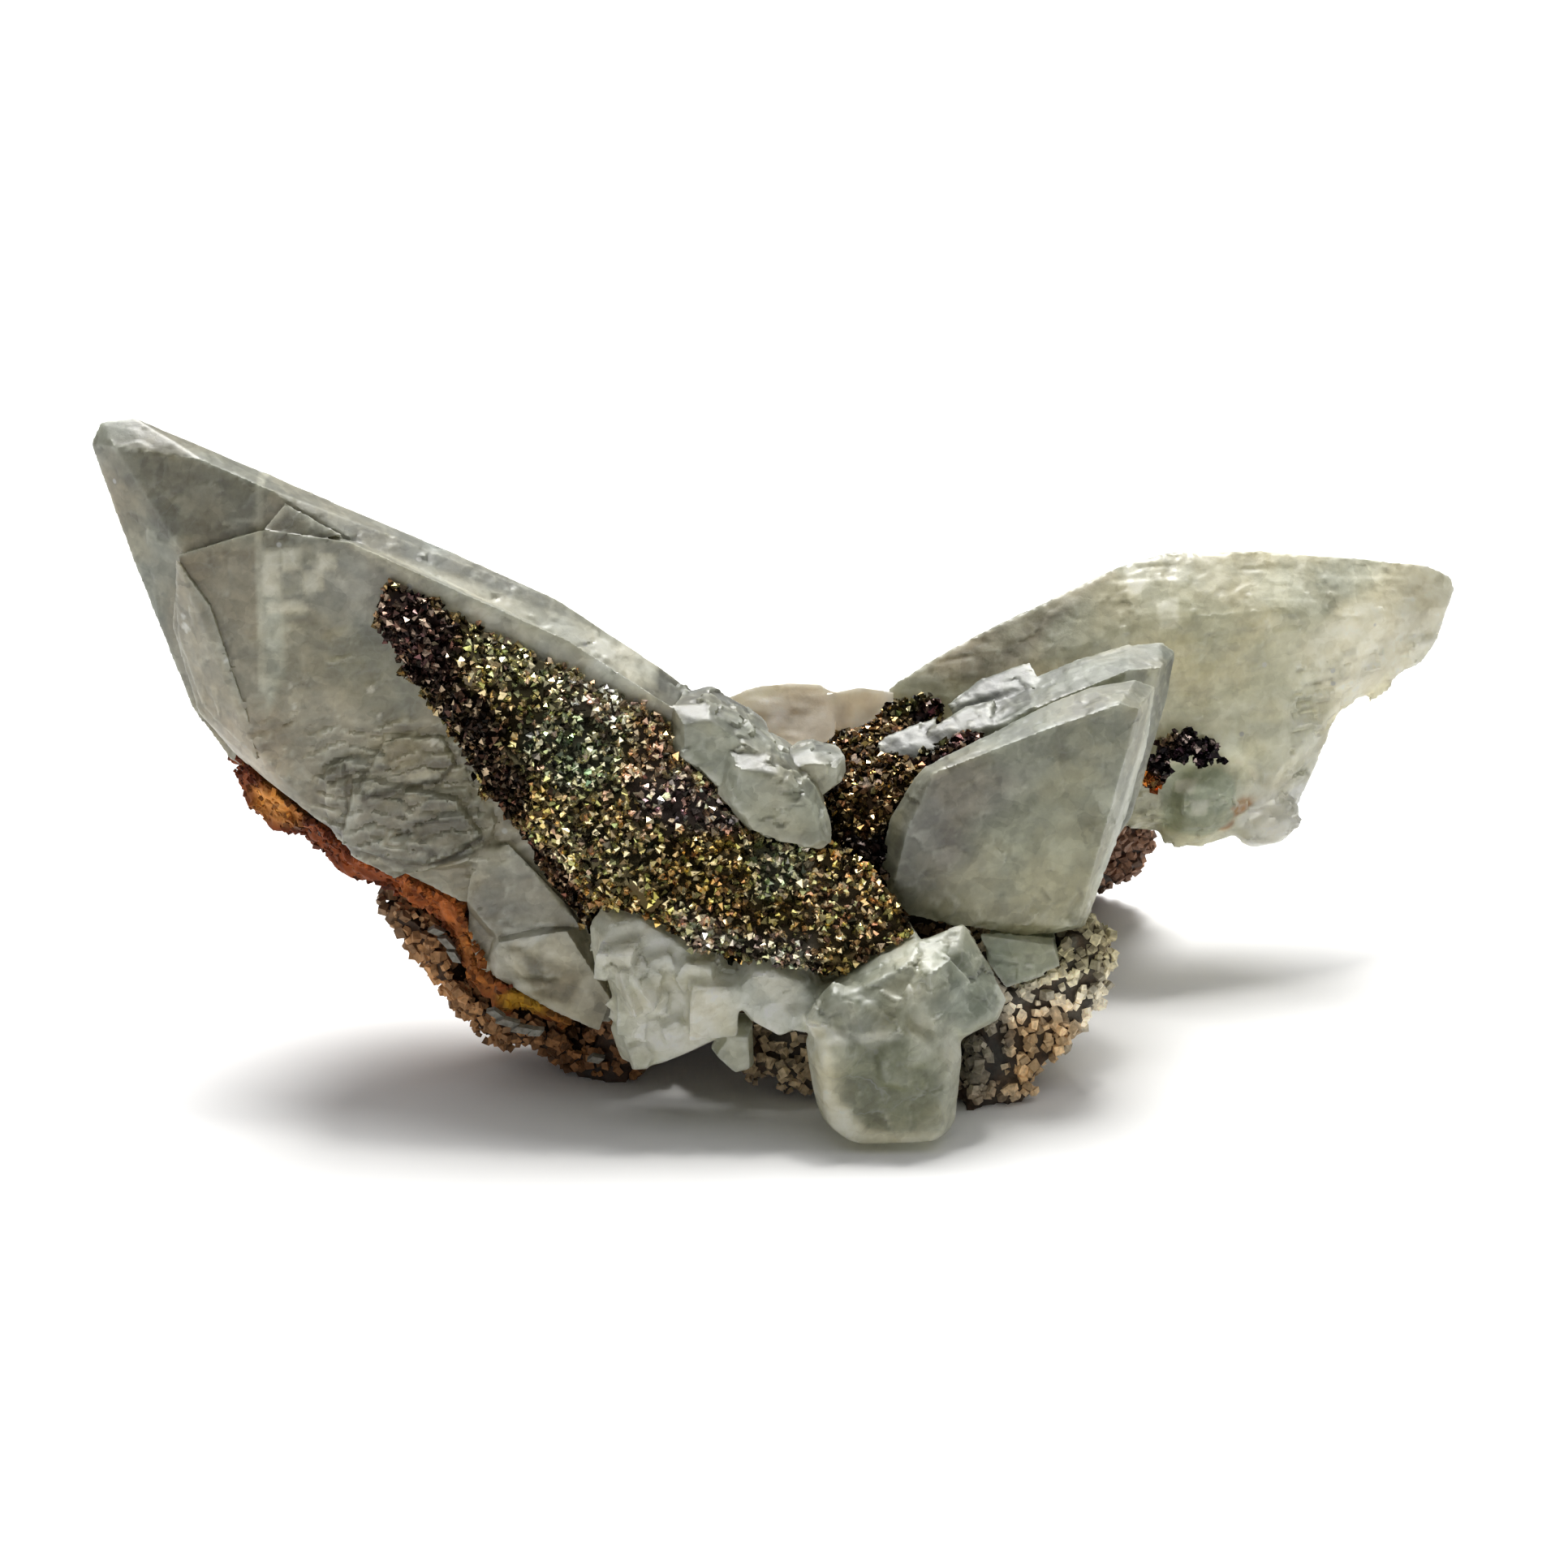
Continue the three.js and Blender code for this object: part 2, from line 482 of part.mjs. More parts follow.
// The dark patch on the right crystal's face.
function chalcopyritePatch() {
  return [
    [[22.4, 26.8, 14.7], [24.8, 27, 15.4], [25.4, 27.2, 14.2], [23, 26.8, 13.4], [24, 29, 14.8],
    [23.4, 29, 13.8]],
    [[24.4, 26.8, 15], [26.2, 27.4, 14.4], [26.8, 27.8, 13.1], [25.2, 27, 13.3], [24.8, 29, 14.4],
    [26, 29, 13.8]],
    [[22.2, 26.4, 13.8], [23.4, 26.6, 13.9], [22.6, 26.2, 12.2], [21.8, 26.2, 12.4],
    [22.4, 28.6, 13.2], [22.8, 28.6, 12.8]],
  ];
}

// ---------------------------------------------------------------- rock

// The host rock that everything grew on. Corners below the floor are worn away where a foot rests on it.
const WORN = FLOOR - 0.6;

function hostRock() {
  return [
    [ // front right
      [11.3, 8, 7.3], [12.4, 7.6, 8], [15.5, 9.4, 8.8], [17, 10.4, 9.3], [19.2, 11.4, 8.3],
      [18.9, 11, 5.2],
      [17.6, 9.6, 4.4], [16.6, 9, 3.2], [15.4, 8, 1.8], [14, 7, 1], [12.2, 6, WORN], [10.4, 5, WORN],
      [16.6, 17, 8.6], [14.6, 17, 1.2], [9, 18, WORN], [9, 18, 9.6], [12, 12, WORN],
    ],
    [ // middle
      [-4.4, 8.4, 3.8], [-1.6, 7, 2], [1.6, 6, 0.6], [10, 6, 0.4], [10, 14, 9.8], [-5, 13, 9.6],
      [1, 15, WORN], [9, 15, WORN], [9, 25, WORN], [1, 25, WORN], [-6, 24, 1.6], [-6, 24, 13],
      [8, 24, 13],
    ],
    [ // left foot
      [-14.6, 11.2, 1.3], [-12.2, 10, 0.4], [-11, 9.4, WORN], [-9.8, 9.4, WORN], [-8.2, 8.4, 2.6],
      [-11, 9.4, 4.4],
      [-16.4, 12, 5.6], [-3, 12, 4.6], [-2, 16, 10], [-14, 20, 10], [-12, 17, 1.4], [-5, 20, 1.4],
      [-9.6, 13, WORN],
    ],
    [ // slab under the left crystal
      [-24, 14.4, 9.6], [-22.9, 13.8, 8.1], [-21.6, 13.4, 6.8], [-20.2, 12.8, 5.1], [-19.4, 12.4, 3.5],
      [-17.7, 12, 1.6], [-15.4, 11.4, 1], [-21, 12, 9], [-18.4, 10.6, 5], [-13.6, 9.6, 4], [-12, 14, 6],
      [-13, 20, 11], [-21, 21, 10], [-17, 20, 6], [-14, 16, 2],
    ],
    [ // rear foot, under the right crystal
      [21.2, 38.4, 2.6], [22.4, 38, 2.2], [23.2, 37, 3.5], [23.2, 36, 5.2], [22.8, 35, 6.4],
      [21.2, 33.6, 7.3],
      [18, 30, 10], [16, 36, 9], [18.4, 40.4, WORN], [16.4, 36, WORN], [14, 41, WORN],
      [14, 40, 6], [13, 34, WORN],
    ],
    [ // ridge across the back
      [18, 31, 3], [18, 29, 9.6], [12, 26, 11.6], [12, 34, 12], [12, 36, 1.4], [12, 20, 1.4],
      [2, 32, 1.4],
      [-4, 32, WORN], [-8, 31, WORN], [-8, 27, WORN], [-4, 26, WORN], [-8, 28, 12], [6, 34, 12],
    ],
  ];
}

// The rusty rind between the left crystal and the rock. Each station has the [across, deep, up]
// of the rind's outer edge and of its inner edge, where it meets the crystal's front face.
const RIND_STATIONS = [
  { outer: [-32.2, 17, 16.8], inner: [-31.6, 16, 17.6] },
  { outer: [-31.3, 16.4, 14.6], inner: [-29.9, 13.8, 17.3] },
  { outer: [-29.8, 15.7, 13.3], inner: [-28.3, 12.6, 16.4] },
  { outer: [-28.1, 15, 13.3], inner: [-26.4, 11.6, 15.2] },
  { outer: [-25.5, 14, 11.3], inner: [-24, 10.9, 13.5] },
  { outer: [-22.8, 12.7, 10.6], inner: [-20.8, 10.2, 12.5] },
  { outer: [-20.3, 11.5, 9.9], inner: [-18.7, 9.6, 11.2] },
  { outer: [-18.9, 10.8, 7.9], inner: [-18, 9.2, 9.4] },
  { outer: [-18.1, 10.2, 5.6], inner: [-17.1, 8.8, 7.2] },
  { outer: [-15.3, 9.4, 4.6], inner: [-15, 8.2, 6.2] },
  { outer: [-12.8, 8.7, 3.7], inner: [-12.4, 7.6, 5.2] },
];
const RIND_DEPTH = 4; // how far the rind runs back under the crystal

function rustyRind() {
  const chunks = [];
  for (let i = 1; i < RIND_STATIONS.length; i++) {
    chunks.push(
      [RIND_STATIONS[i - 1], RIND_STATIONS[i]].flatMap(({ outer, inner }) => [
        outer, inner,
        [outer[0] + 0.8, outer[1] + RIND_DEPTH, outer[2]],
        [inner[0] + 0.8, inner[1] + RIND_DEPTH, inner[2]],
      ]),
    );
  }
  return chunks;
}

// ---------------------------------------------------------------- specimen

// The chunks joined, with the pieces that make grows on them. Each patch of growth is a count of pieces,
// their sizes and the faces that they stand on.
function overgrown(chunks, seed, make, patches) {
  const random = seeded(seed);
  const body = grownTogether(chunks);
  const growth = patches.flatMap((patch) => scatter(body, patch, random, make));
  return join([body, grownTogether(growth)]);
}

// The largest connected body of a solid: offcuts that a neighbour's clearance leaves behind are dropped.
function largest(solid) {
  return solid.decompose().reduce((best, body) => (body.volume() > best.volume() ? body : best));
}

const leftChunks = [...dogTooth(), ...drapedFoot()];
const rightChunks = rightCalcite();
const peachChunks = peachCalcite();
const leafChunks = [...leafPair(), ...leafCrest()];
const frontChunks = frontCalcite();
const blockChunks = calciteBlock();
const room = (chunks) => grownTogether(chunks, GAP);

const leftSolid = grownTogether(leftChunks);
const leafSolid = grownTogether(leafChunks);
const frontSolid = grownTogether(frontChunks)
  .subtract(join([room(leftChunks), room(leafChunks)]))
  .trimByPlane([0, 0, 1], FLOOR);
const blockSolid = grownTogether(blockChunks).subtract(join([room(leafChunks), room(frontChunks)]));
const rightSolid = grownTogether(rightChunks).subtract(room(leafChunks));
const peachSolid = grownTogether(peachChunks).subtract(join([leftChunks, leafChunks, rightChunks].map(room)));
const calcites = [leftChunks, leafChunks, frontChunks, blockChunks, rightChunks, peachChunks];
const calciteRoom = join(calcites.map(room));

const bladeChunks = chalcopyriteBlade();
const saddleChunks = chalcopyriteSaddle();
const patchChunks = chalcopyritePatch();
const coatedRoom = (chunks) => grownTogether(chunks, GAP + DRUSE_GRAIN[0]);
const facesFront = (normal) => normal.y < -0.1;
const facesUp = (normal) => normal.z > 0.1;
const bladeGrowth = [{ count: 76, sizes: DRUSE_GRAIN, on: facesFront }];
const saddleGrowth = [{ count: 36, sizes: DRUSE_GRAIN, on: facesUp }];
const patchGrowth = [{ count: 8, sizes: DRUSE_GRAIN, on: facesFront }];
const bladeSolid = overgrown(bladeChunks, 5, druseCrystal, bladeGrowth).subtract(calciteRoom);
const saddleSolid = overgrown(saddleChunks, 7, druseCrystal, saddleGrowth)
  .subtract(join([calciteRoom, coatedRoom(bladeChunks)]));
const patchSolid = overgrown(patchChunks, 9, druseCrystal, patchGrowth).subtract(calciteRoom);
const druseRoom = join([bladeChunks, saddleChunks, patchChunks].map(coatedRoom));

const rindChunks = rustyRind();
const rindGrowth = [{ count: 14, sizes: ROCK_GRAIN, on: (normal) => normal.z < 0 }];
const rindSolid = overgrown(rindChunks, 13, rockLump, rindGrowth)
  .subtract(join([calciteRoom, druseRoom]));
const frontRight = (normal, place) => normal.y < 0.2 && place.x > 10 && place.y < 16;
const leftSlab = (normal, place) => normal.y < 0 && place.x < -8 && place.z < 10;
const lowMiddle = (normal, place) => normal.y < 0.2 && Math.abs(place.x) < 6 && place.z < 5;
const shelteredBack = (normal, place) => normal.y > 0 && place.y > 20 && place.x < 14 && place.z > 1.5;
const rockGrowth = [
  { count: 30, sizes: ROCK_GRAIN, on: frontRight },
  { count: 24, sizes: ROCK_GRAIN, on: leftSlab },
  { count: 10, sizes: ROCK_GRAIN, on: lowMiddle },
  { count: 12, sizes: ROCK_LEDGE, on: shelteredBack },
];
const rockSolid = overgrown(hostRock(), 17, rockLump, rockGrowth)
  .subtract(join([calciteRoom, druseRoom, grownTogether(rindChunks, GAP + ROCK_GRAIN[0])]))
  .trimByPlane([0, 0, 1], FLOOR);

const finish = (colour, roughness, metalness = 0) =>
  new THREE.MeshStandardMaterial({ color: colour, roughness, metalness, flatShading: true });
const greyCalcite = finish(0x8f9488, 0.35);
const creamCalcite = finish(0xb3b09c, 0.4);
const peach = finish(0xbba58f, 0.4);
const brass = finish(0x7a6430, 0.3, 0.9);
const tarnish = finish(0x3a2420, 0.3, 0.8);
const rock = finish(0x7c6142, 0.85);
const rust = finish(0x9a4f1c, 0.8);

const specimen = new THREE.Group();
for (const [name, solid, material] of [
  ["left_calcite_crystal", leftSolid, greyCalcite],
  ["right_calcite_crystal", rightSolid, creamCalcite],
  ["peach_calcite_crystal", peachSolid, peach],
  ["leaf_calcite_pair", leafSolid, greyCalcite],
  ["front_calcite_cluster", frontSolid, greyCalcite],
  ["calcite_block", blockSolid, greyCalcite],
  ["chalcopyrite_blade", bladeSolid, brass],
  ["chalcopyrite_saddle", saddleSolid, brass],
  ["chalcopyrite_patch", patchSolid, tarnish],
  ["rusty_rind", rindSolid, rust],
  ["host_rock", rockSolid, rock],
]) {
  const mesh = new THREE.Mesh(toGeometry(largest(solid)), material);
  mesh.name = name;
  specimen.add(mesh);
}

// The origin is the middle of the footprint, on the surface that the specimen stands on.
const box = new THREE.Box3().setFromObject(specimen);
specimen.position.set(-(box.min.x + box.max.x) / 2, -(box.min.y + box.max.y) / 2, -box.min.z);

export default specimen;
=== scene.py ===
import itertools
import math

import bmesh
import bpy
import numpy as np
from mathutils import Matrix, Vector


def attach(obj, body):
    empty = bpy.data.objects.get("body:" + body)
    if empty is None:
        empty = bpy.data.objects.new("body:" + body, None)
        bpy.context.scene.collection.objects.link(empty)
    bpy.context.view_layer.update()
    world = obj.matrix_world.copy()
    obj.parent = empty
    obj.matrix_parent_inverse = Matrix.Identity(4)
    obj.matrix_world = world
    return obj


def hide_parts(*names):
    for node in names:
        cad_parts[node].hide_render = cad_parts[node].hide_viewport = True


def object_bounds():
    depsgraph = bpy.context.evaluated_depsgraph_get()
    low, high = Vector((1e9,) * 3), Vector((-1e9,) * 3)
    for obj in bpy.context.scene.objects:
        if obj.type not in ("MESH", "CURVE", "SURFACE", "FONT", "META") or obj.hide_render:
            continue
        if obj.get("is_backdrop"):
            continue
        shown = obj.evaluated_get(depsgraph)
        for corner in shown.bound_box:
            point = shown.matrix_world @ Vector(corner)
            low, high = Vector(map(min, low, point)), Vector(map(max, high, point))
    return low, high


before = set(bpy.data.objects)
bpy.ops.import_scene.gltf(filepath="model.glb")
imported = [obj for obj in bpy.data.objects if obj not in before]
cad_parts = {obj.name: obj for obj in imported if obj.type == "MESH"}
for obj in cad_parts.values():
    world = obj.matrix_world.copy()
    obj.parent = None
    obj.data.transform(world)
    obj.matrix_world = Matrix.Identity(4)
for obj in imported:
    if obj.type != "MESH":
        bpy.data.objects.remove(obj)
cad_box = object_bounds()

# ---------------------------------------------------------------- host rock
# The lump that everything grew on: iron-stained rock, a crust of blocky sand-sized grains with pits
# between them painted nearly black, partly their own dark colour and partly painted shade. It is tan on
# the right, dark red-brown under the left crystal, and worn flat on the few places where the specimen stands.

MM = 0.001  # the solids are in metres, all sizes below in millimetres


def solid(node):
    """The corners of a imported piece, in millimetres, and its triangles."""
    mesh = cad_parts[node].data
    corners = np.empty(len(mesh.vertices) * 3, dtype=np.float32)
    mesh.vertices.foreach_get("co", corners)
    mesh.calc_loop_triangles()
    triangles = np.empty(len(mesh.loop_triangles) * 3, dtype=np.int32)
    mesh.loop_triangles.foreach_get("vertices", triangles)
    return corners.reshape(-1, 3).astype(float) / MM, triangles.reshape(-1, 3)


def tone(code):
    """A colour like #7c6142 as linear red, green and blue."""
    parts = np.array([int(code[k : k + 2], 16) for k in (1, 3, 5)]) / 255
    return np.where(parts <= 0.04045, parts / 12.92, ((parts + 0.055) / 1.055) ** 2.4)


def dice(cells, seed):
    """A random value from 0 to 1 for each cell of a grid."""
    mixed = cells.astype(np.int64) @ np.array([73856093, 19349663, 83492791]) + seed * 40503
    mixed = ((mixed ^ (mixed >> 13)) * 1274126177) & 0xFFFFFFFF
    return ((mixed ^ (mixed >> 16)) & 0xFFFF) / 65535


def cloud(points, size, seed):
    """Smooth random values from -1 to 1 that change over about size millimetres."""
    at = points / size + 31.7 * seed
    cell = np.floor(at)
    part = at - cell
    part = part * part * (3 - 2 * part)
    total = np.zeros(len(points))
    for corner in itertools.product((0, 1), repeat=3):
        total += (2 * dice(cell + corner, seed) - 1) * np.prod(np.where(corner, part, 1 - part), axis=1)
    return total


def ragged(points, size, seed):
    """Clouds on three scales, each half as large and half as strong as the one before."""
    return sum(cloud(points, size / 2**k, seed + k) / 2**k for k in range(3)) / 1.75


def rising(values, start, width):
    """0 up to the start, from there rising to 1 over the width."""
    return np.clip((values - start) / width, 0, 1)


def falling(values, end, width):
    """0 from the end on, and 1 where the values lie more than the width before it."""
    return np.clip((end - values) / width, 0, 1)


def washed(points, ground, washes, seed, edge=1.2):
    """A colour for each point: the ground colour, with soft-edged washes of other colours over it."""
    colours = np.tile(tone(ground), (len(points), 1))
    drift = edge * np.stack([ragged(points, 4.0, seed + k) for k in range(3)], axis=1)
    for middle, reach, code, strength in washes:
        away = np.linalg.norm((points + drift - middle) / reach, axis=1)
        share = np.clip(1.5 - away, 0, 1)
        share = strength * share * share * (3 - 2 * share)
        colours += share[:, None] * (tone(code) - colours)
    return colours


def reskinned(mesh, **settings):
    """A mesh rebuilt as a skin of small, even, four-sided faces: its points and faces."""
    body = bpy.data.objects.new("reskinned", mesh)
    bpy.context.scene.collection.objects.link(body)
    remesh = body.modifiers.new("reskin", "REMESH")
    for key, value in settings.items():
        setattr(remesh, key, value)
    skin = body.evaluated_get(bpy.context.evaluated_depsgraph_get()).to_mesh()
    points = np.empty(len(skin.vertices) * 3, dtype=np.float32)
    skin.vertices.foreach_get("co", points)
    quads = np.empty(len(skin.loops), dtype=np.int32)
    skin.loops.foreach_get("vertex_index", quads)
    bpy.data.objects.remove(body)
    bpy.data.meshes.remove(mesh)
    return points.reshape(-1, 3).astype(float), quads.reshape(-1, 4)


def fused(corners, triangles, grain):
    """Bodies fused into one rounded skin of faces about grain millimetres across."""
    mesh = bpy.data.meshes.new("fusing")
    mesh.from_pydata(corners.tolist(), [], triangles.tolist())
    return reskinned(mesh, mode="VOXEL", voxel_size=grain)


def averaged(points, quads):
    """The mean of each point's neighbours along the edges."""
    ends = np.concatenate([quads[:, [k, (k + 1) % 4]] for k in range(4)])
    count = np.bincount(ends[:, 0], minlength=len(points))
    sums = [np.bincount(ends[:, 0], points[ends[:, 1], k], len(points)) for k in range(3)]
    return np.stack(sums, axis=1) / np.maximum(count, 1)[:, None]


def outward(points, quads):
    """The unit normal at each point of a skin."""
    across = np.cross(points[quads[:, 2]] - points[quads[:, 0]], points[quads[:, 3]] - points[quads[:, 1]])
    total = np.zeros_like(points)
    for side in range(4):
        for k in range(3):
            total[:, k] += np.bincount(quads[:, side], across[:, k], len(points))
    return total / np.maximum(np.linalg.norm(total, axis=1), 1e-12)[:, None]


def spread(corners, triangles, density, rng, wanted):
    """Random places on a surface, so many to the square millimetre, and the way each faces."""
    a, b, c = (corners[triangles[:, k]] for k in range(3))
    across = np.cross(b - a, c - a)
    area = np.linalg.norm(across, axis=1) / 2
    facing = across / np.maximum(2 * area, 1e-9)[:, None]
    picked = rng.choice(len(triangles), int(density * area.sum()), p=area / area.sum())
    u, v = rng.random((2, len(picked)))
    u, v = np.where(u + v > 1, 1 - u, u), np.where(u + v > 1, 1 - v, v)
    places = a[picked] + u[:, None] * (b - a)[picked] + v[:, None] * (c - a)[picked]
    keep = wanted(places, facing[picked])
    return places[keep], facing[picked][keep]


def hull(points):
    """The convex body round some points: its corners and triangles."""
    body = bmesh.new()
    for point in points:
        body.verts.new(point)
    bmesh.ops.convex_hull(body, input=body.verts)
    bmesh.ops.triangulate(body, faces=body.faces)
    body.verts.index_update()
    corners = np.array([vert.co[:] for vert in body.verts])
    triangles = np.array([[vert.index for vert in face.verts] for face in body.faces])
    body.free()
    return corners, triangles


def crystals(shape, places, sizes, rng):
    """A crystal of the shape at each place, turned at random. Its size is a row of three sizes."""
    corners, triangles = shape
    w, x, y, z = (lambda q: (q / np.linalg.norm(q, axis=1)[:, None]).T)(rng.normal(size=(len(places), 4)))
    turn = np.array([
        [1 - 2 * (y * y + z * z), 2 * (x * y - z * w), 2 * (x * z + y * w)],
        [2 * (x * y + z * w), 1 - 2 * (x * x + z * z), 2 * (y * z - x * w)],
        [2 * (x * z - y * w), 2 * (y * z + x * w), 1 - 2 * (x * x + y * y)],
    ]).transpose(2, 0, 1)
    grown = np.einsum("nij,nkj->nki", turn, corners[None] * sizes[:, None]) + places[:, None]
    faces = triangles[None] + len(corners) * np.arange(len(places))[:, None, None]
    return grown.reshape(-1, 3), faces.reshape(-1, 3)


CREASE = math.radians(26)  # edges sharper than this catch the light as a line


def piece(name, material, parts):
    """One mesh object made of parts, each given as points, faces, colours and whether it is smooth."""
    low, high = np.array(cad_box[0]), np.array(cad_box[1])
    points = np.concatenate([part[0] for part in parts])
    points = np.clip(points * MM, low, high)
    starts = np.cumsum([0] + [len(part[0]) for part in parts])
    faces = [face for start, part in zip(starts, parts) for face in (part[1] + start).tolist()]
    smooth = np.concatenate([np.full(len(part[1]), part[3]) for part in parts])
    mesh = bpy.data.meshes.new(name)
    mesh.from_pydata(points.tolist(), [], faces)
    mesh.polygons.foreach_set("use_smooth", smooth)
    tint = mesh.color_attributes.new("tint", "FLOAT_COLOR", "POINT")
    colours = np.concatenate([part[2] for part in parts])
    tint.data.foreach_set("color", np.column_stack([colours, np.ones(len(colours))]).ravel())
    mesh.set_sharp_from_angle(angle=CREASE)
    mesh.materials.append(material)
    body = bpy.data.objects.new(name, mesh)
    bpy.context.scene.collection.objects.link(body)
    return body


def add(tree, kind, values=None, **settings):
    """A shader node with its settings, and its inputs set to numbers or linked to other outputs."""
    node = tree.nodes.new(kind)
    for key, value in settings.items():
        setattr(node, key, value)
    for key, value in (values or {}).items():
        if isinstance(value, bpy.types.NodeSocket):
            tree.links.new(value, node.inputs[key])
        else:
            node.inputs[key].default_value = value
    return node


def noise(tree, place, scale, detail, roughness=0.5):
    """Smooth noise, as a value called Fac and as a colour called Color."""
    return add(tree, "ShaderNodeTexNoise", {"Vector": place, "Scale": scale, "Detail": detail,
                                            "Roughness": roughness}).outputs


def ranged(tree, value, low, high, bottom, top):
    """A value from low to high brought to between bottom and top."""
    return add(tree, "ShaderNodeMapRange", {"Value": value, "From Min": low, "From Max": high,
                                            "To Min": bottom, "To Max": top}).outputs["Result"]


def over(tree, share, ground, colour):
    """A colour laid over the ground colour by its share."""
    return add(tree, "ShaderNodeMix", {"Factor": share, "A": ground, "B": colour},
               data_type="RGBA").outputs["Result"]


def shaded(tree, colour, share):
    """A colour made lighter or darker by a share."""
    return add(tree, "ShaderNodeVectorMath", {0: colour, "Scale": share}, operation="SCALE").outputs["Vector"]


def effect(name, inputs, outputs):
    """An empty effect group with its named inputs, each with a default, and its named outputs."""
    group = bpy.data.node_groups.new(name, "ShaderNodeTree")
    for key, kind, default in inputs:
        socket = group.interface.new_socket(key, in_out="INPUT", socket_type=kind)
        if default is not None:
            socket.default_value = default
    for key, kind in outputs:
        group.interface.new_socket(key, in_out="OUTPUT", socket_type=kind)
    return group, group.nodes.new("NodeGroupInput").outputs, group.nodes.new("NodeGroupOutput").inputs


def put_out(group, out, **results):
    """An effect's results linked to its named outputs."""
    for key, value in results.items():
        group.links.new(value, out[key])


FLOAT, COLOUR, VECTOR = "NodeSocketFloat", "NodeSocketColor", "NodeSocketVector"
FINISH = [("Colour", COLOUR), ("Roughness", FLOAT), ("Height", FLOAT)]  # what each effect puts out


def material(name):
    """A material with its tree, its shader, the place on the piece, and the piece's own tint."""
    made = bpy.data.materials.new(name)
    made.use_nodes = True
    tree = made.node_tree
    place = add(tree, "ShaderNodeTexCoord").outputs["Object"]
    tint = add(tree, "ShaderNodeAttribute", attribute_name="tint").outputs["Color"]
    return made, tree, tree.nodes["Principled BSDF"], place, tint


def use(tree, group, values):
    """An effect group placed in a material with its own values."""
    return add(tree, "ShaderNodeGroup", values, node_tree=group).outputs


def dressed(tree, shader, finish, strength, distance, own=None):
    """A shader with a finish's colour, roughness and relief, and with values of its own."""
    bump = add(tree, "ShaderNodeBump", {"Height": finish["Height"], "Strength": strength,
                                        "Distance": distance})
    tree.links.new(finish["Colour"], shader.inputs["Base Color"])
    tree.links.new(finish["Roughness"], shader.inputs["Roughness"])
    tree.links.new(bump.outputs["Normal"], shader.inputs["Normal"])
    for key, value in (own or {}).items():
        shader.inputs[key].default_value = value


# Earthy stain: the uneven, dusty colour of iron-stained stone, with darker hollows.
earthy, given, out = effect(
    "earthy stain",
    [("Tint", COLOUR, None), ("Place", VECTOR, None), ("Stain", COLOUR, None),
     ("Stain size", FLOAT, 400.0), ("Amount", FLOAT, 0.5)],
    FINISH,
)
patches = noise(earthy, given["Place"], given["Stain size"], 5.0, 0.65)["Fac"]
fine = noise(earthy, given["Place"], 3200.0, 3.0)["Fac"]
share = ranged(earthy, patches, 0.42, 0.68, 0.0, given["Amount"])
stained = over(earthy, share, given["Tint"], given["Stain"])
dusty = shaded(earthy, stained, ranged(earthy, fine, 0.3, 0.7, 0.62, 1.3))
rough = ranged(earthy, patches, 0.3, 0.7, 0.55, 0.95)
put_out(earthy, out, Colour=dusty, Roughness=rough, Height=fine)

rock_material, tree, shader, place, tint = material("iron-stained rock")
stain = use(tree, earthy, {"Tint": tint, "Place": place, "Stain": (*tone("#5a3a20"), 1),
                           "Stain size": 420.0, "Amount": 0.45})
dressed(tree, shader, stain, 0.5, 0.00012)

ROCK_SKIN = 0.4  # size of the faces of its skin
ROCK_GRAIN = (0.16, 0.31)  # half the width of the smallest and largest grain
ROCK_GRAINS = 3.6  # grains to the square millimetre
WORN_FLAT = 0.4  # no grains are left below this height, where the rock stands on the floor
ROCK_WASHES = [  # places of another colour: middle, reach, colour, strength
    ((15.5, -10.5, 5.0), (6, 7, 7), "#d3cbb6", 1.0),
    ((16.5, -9.0, 8.0), (4, 5, 2.5), "#a19a78", 0.9),
    ((13.8, -13.0, 2.5), (3.2, 3, 2.6), "#b8935f", 0.8),
    ((10.2, -13.5, 3.4), (1.8, 4, 2.6), "#6a665a", 0.9),
    ((21.5, 16.0, 4.0), (4, 6, 4), "#755746", 0.9),
    ((-1.0, -12.0, 3.0), (6, 5, 4), "#85765c", 0.9),
    ((-12.0, -10.0, 1.5), (6, 5, 3), "#6a4522", 0.9),
    ((-19.5, -8.0, 6.0), (5, 5, 5), "#a2784e", 0.9),
]
rhomb = hull([(x + 0.35 * z, y + 0.2 * x, z) for x, y, z in itertools.product((-1, 1), repeat=3)])
rng = np.random.default_rng(2)
sand = hull([(x, y, z) * rng.uniform(0.6, 1.1, 3) for x, y, z in itertools.product((-1, 1), repeat=3)])

rng = np.random.default_rng(3)
corners, triangles = solid("host_rock")
points, quads = fused(corners, triangles, ROCK_SKIN)
facing = outward(points, quads)
standing = rising(points[:, 2], 0, 0.8)  # 0 where the rock stands on the floor
points += facing * (standing * (0.42 * ragged(points, 1.6, 5) - 0.2))[:, None]
# The skin between the grains is painted nearly black: partly the pits' own dark colour, partly painted shade
# in them.
ground = washed(points, "#5d4934", ROCK_WASHES, 7) * (0.13 + 0.06 * cloud(points, 0.8, 9))[:, None]

places, ways = spread(corners, triangles, ROCK_GRAINS, rng, lambda p, n: p[:, 2] > WORN_FLAT)
sizes = rng.uniform(*ROCK_GRAIN, (len(places), 1)) * rng.uniform(0.75, 1.25, (len(places), 3))
grains, grain_faces = crystals(sand, places - ways * rng.uniform(-0.1, 0.25, (len(places), 1)), sizes, rng)
own = np.repeat(rng.uniform(0.6, 2.4, len(places)), len(sand[0]))
grain_tint = washed(grains, "#77614a", ROCK_WASHES, 7) * own[:, None]

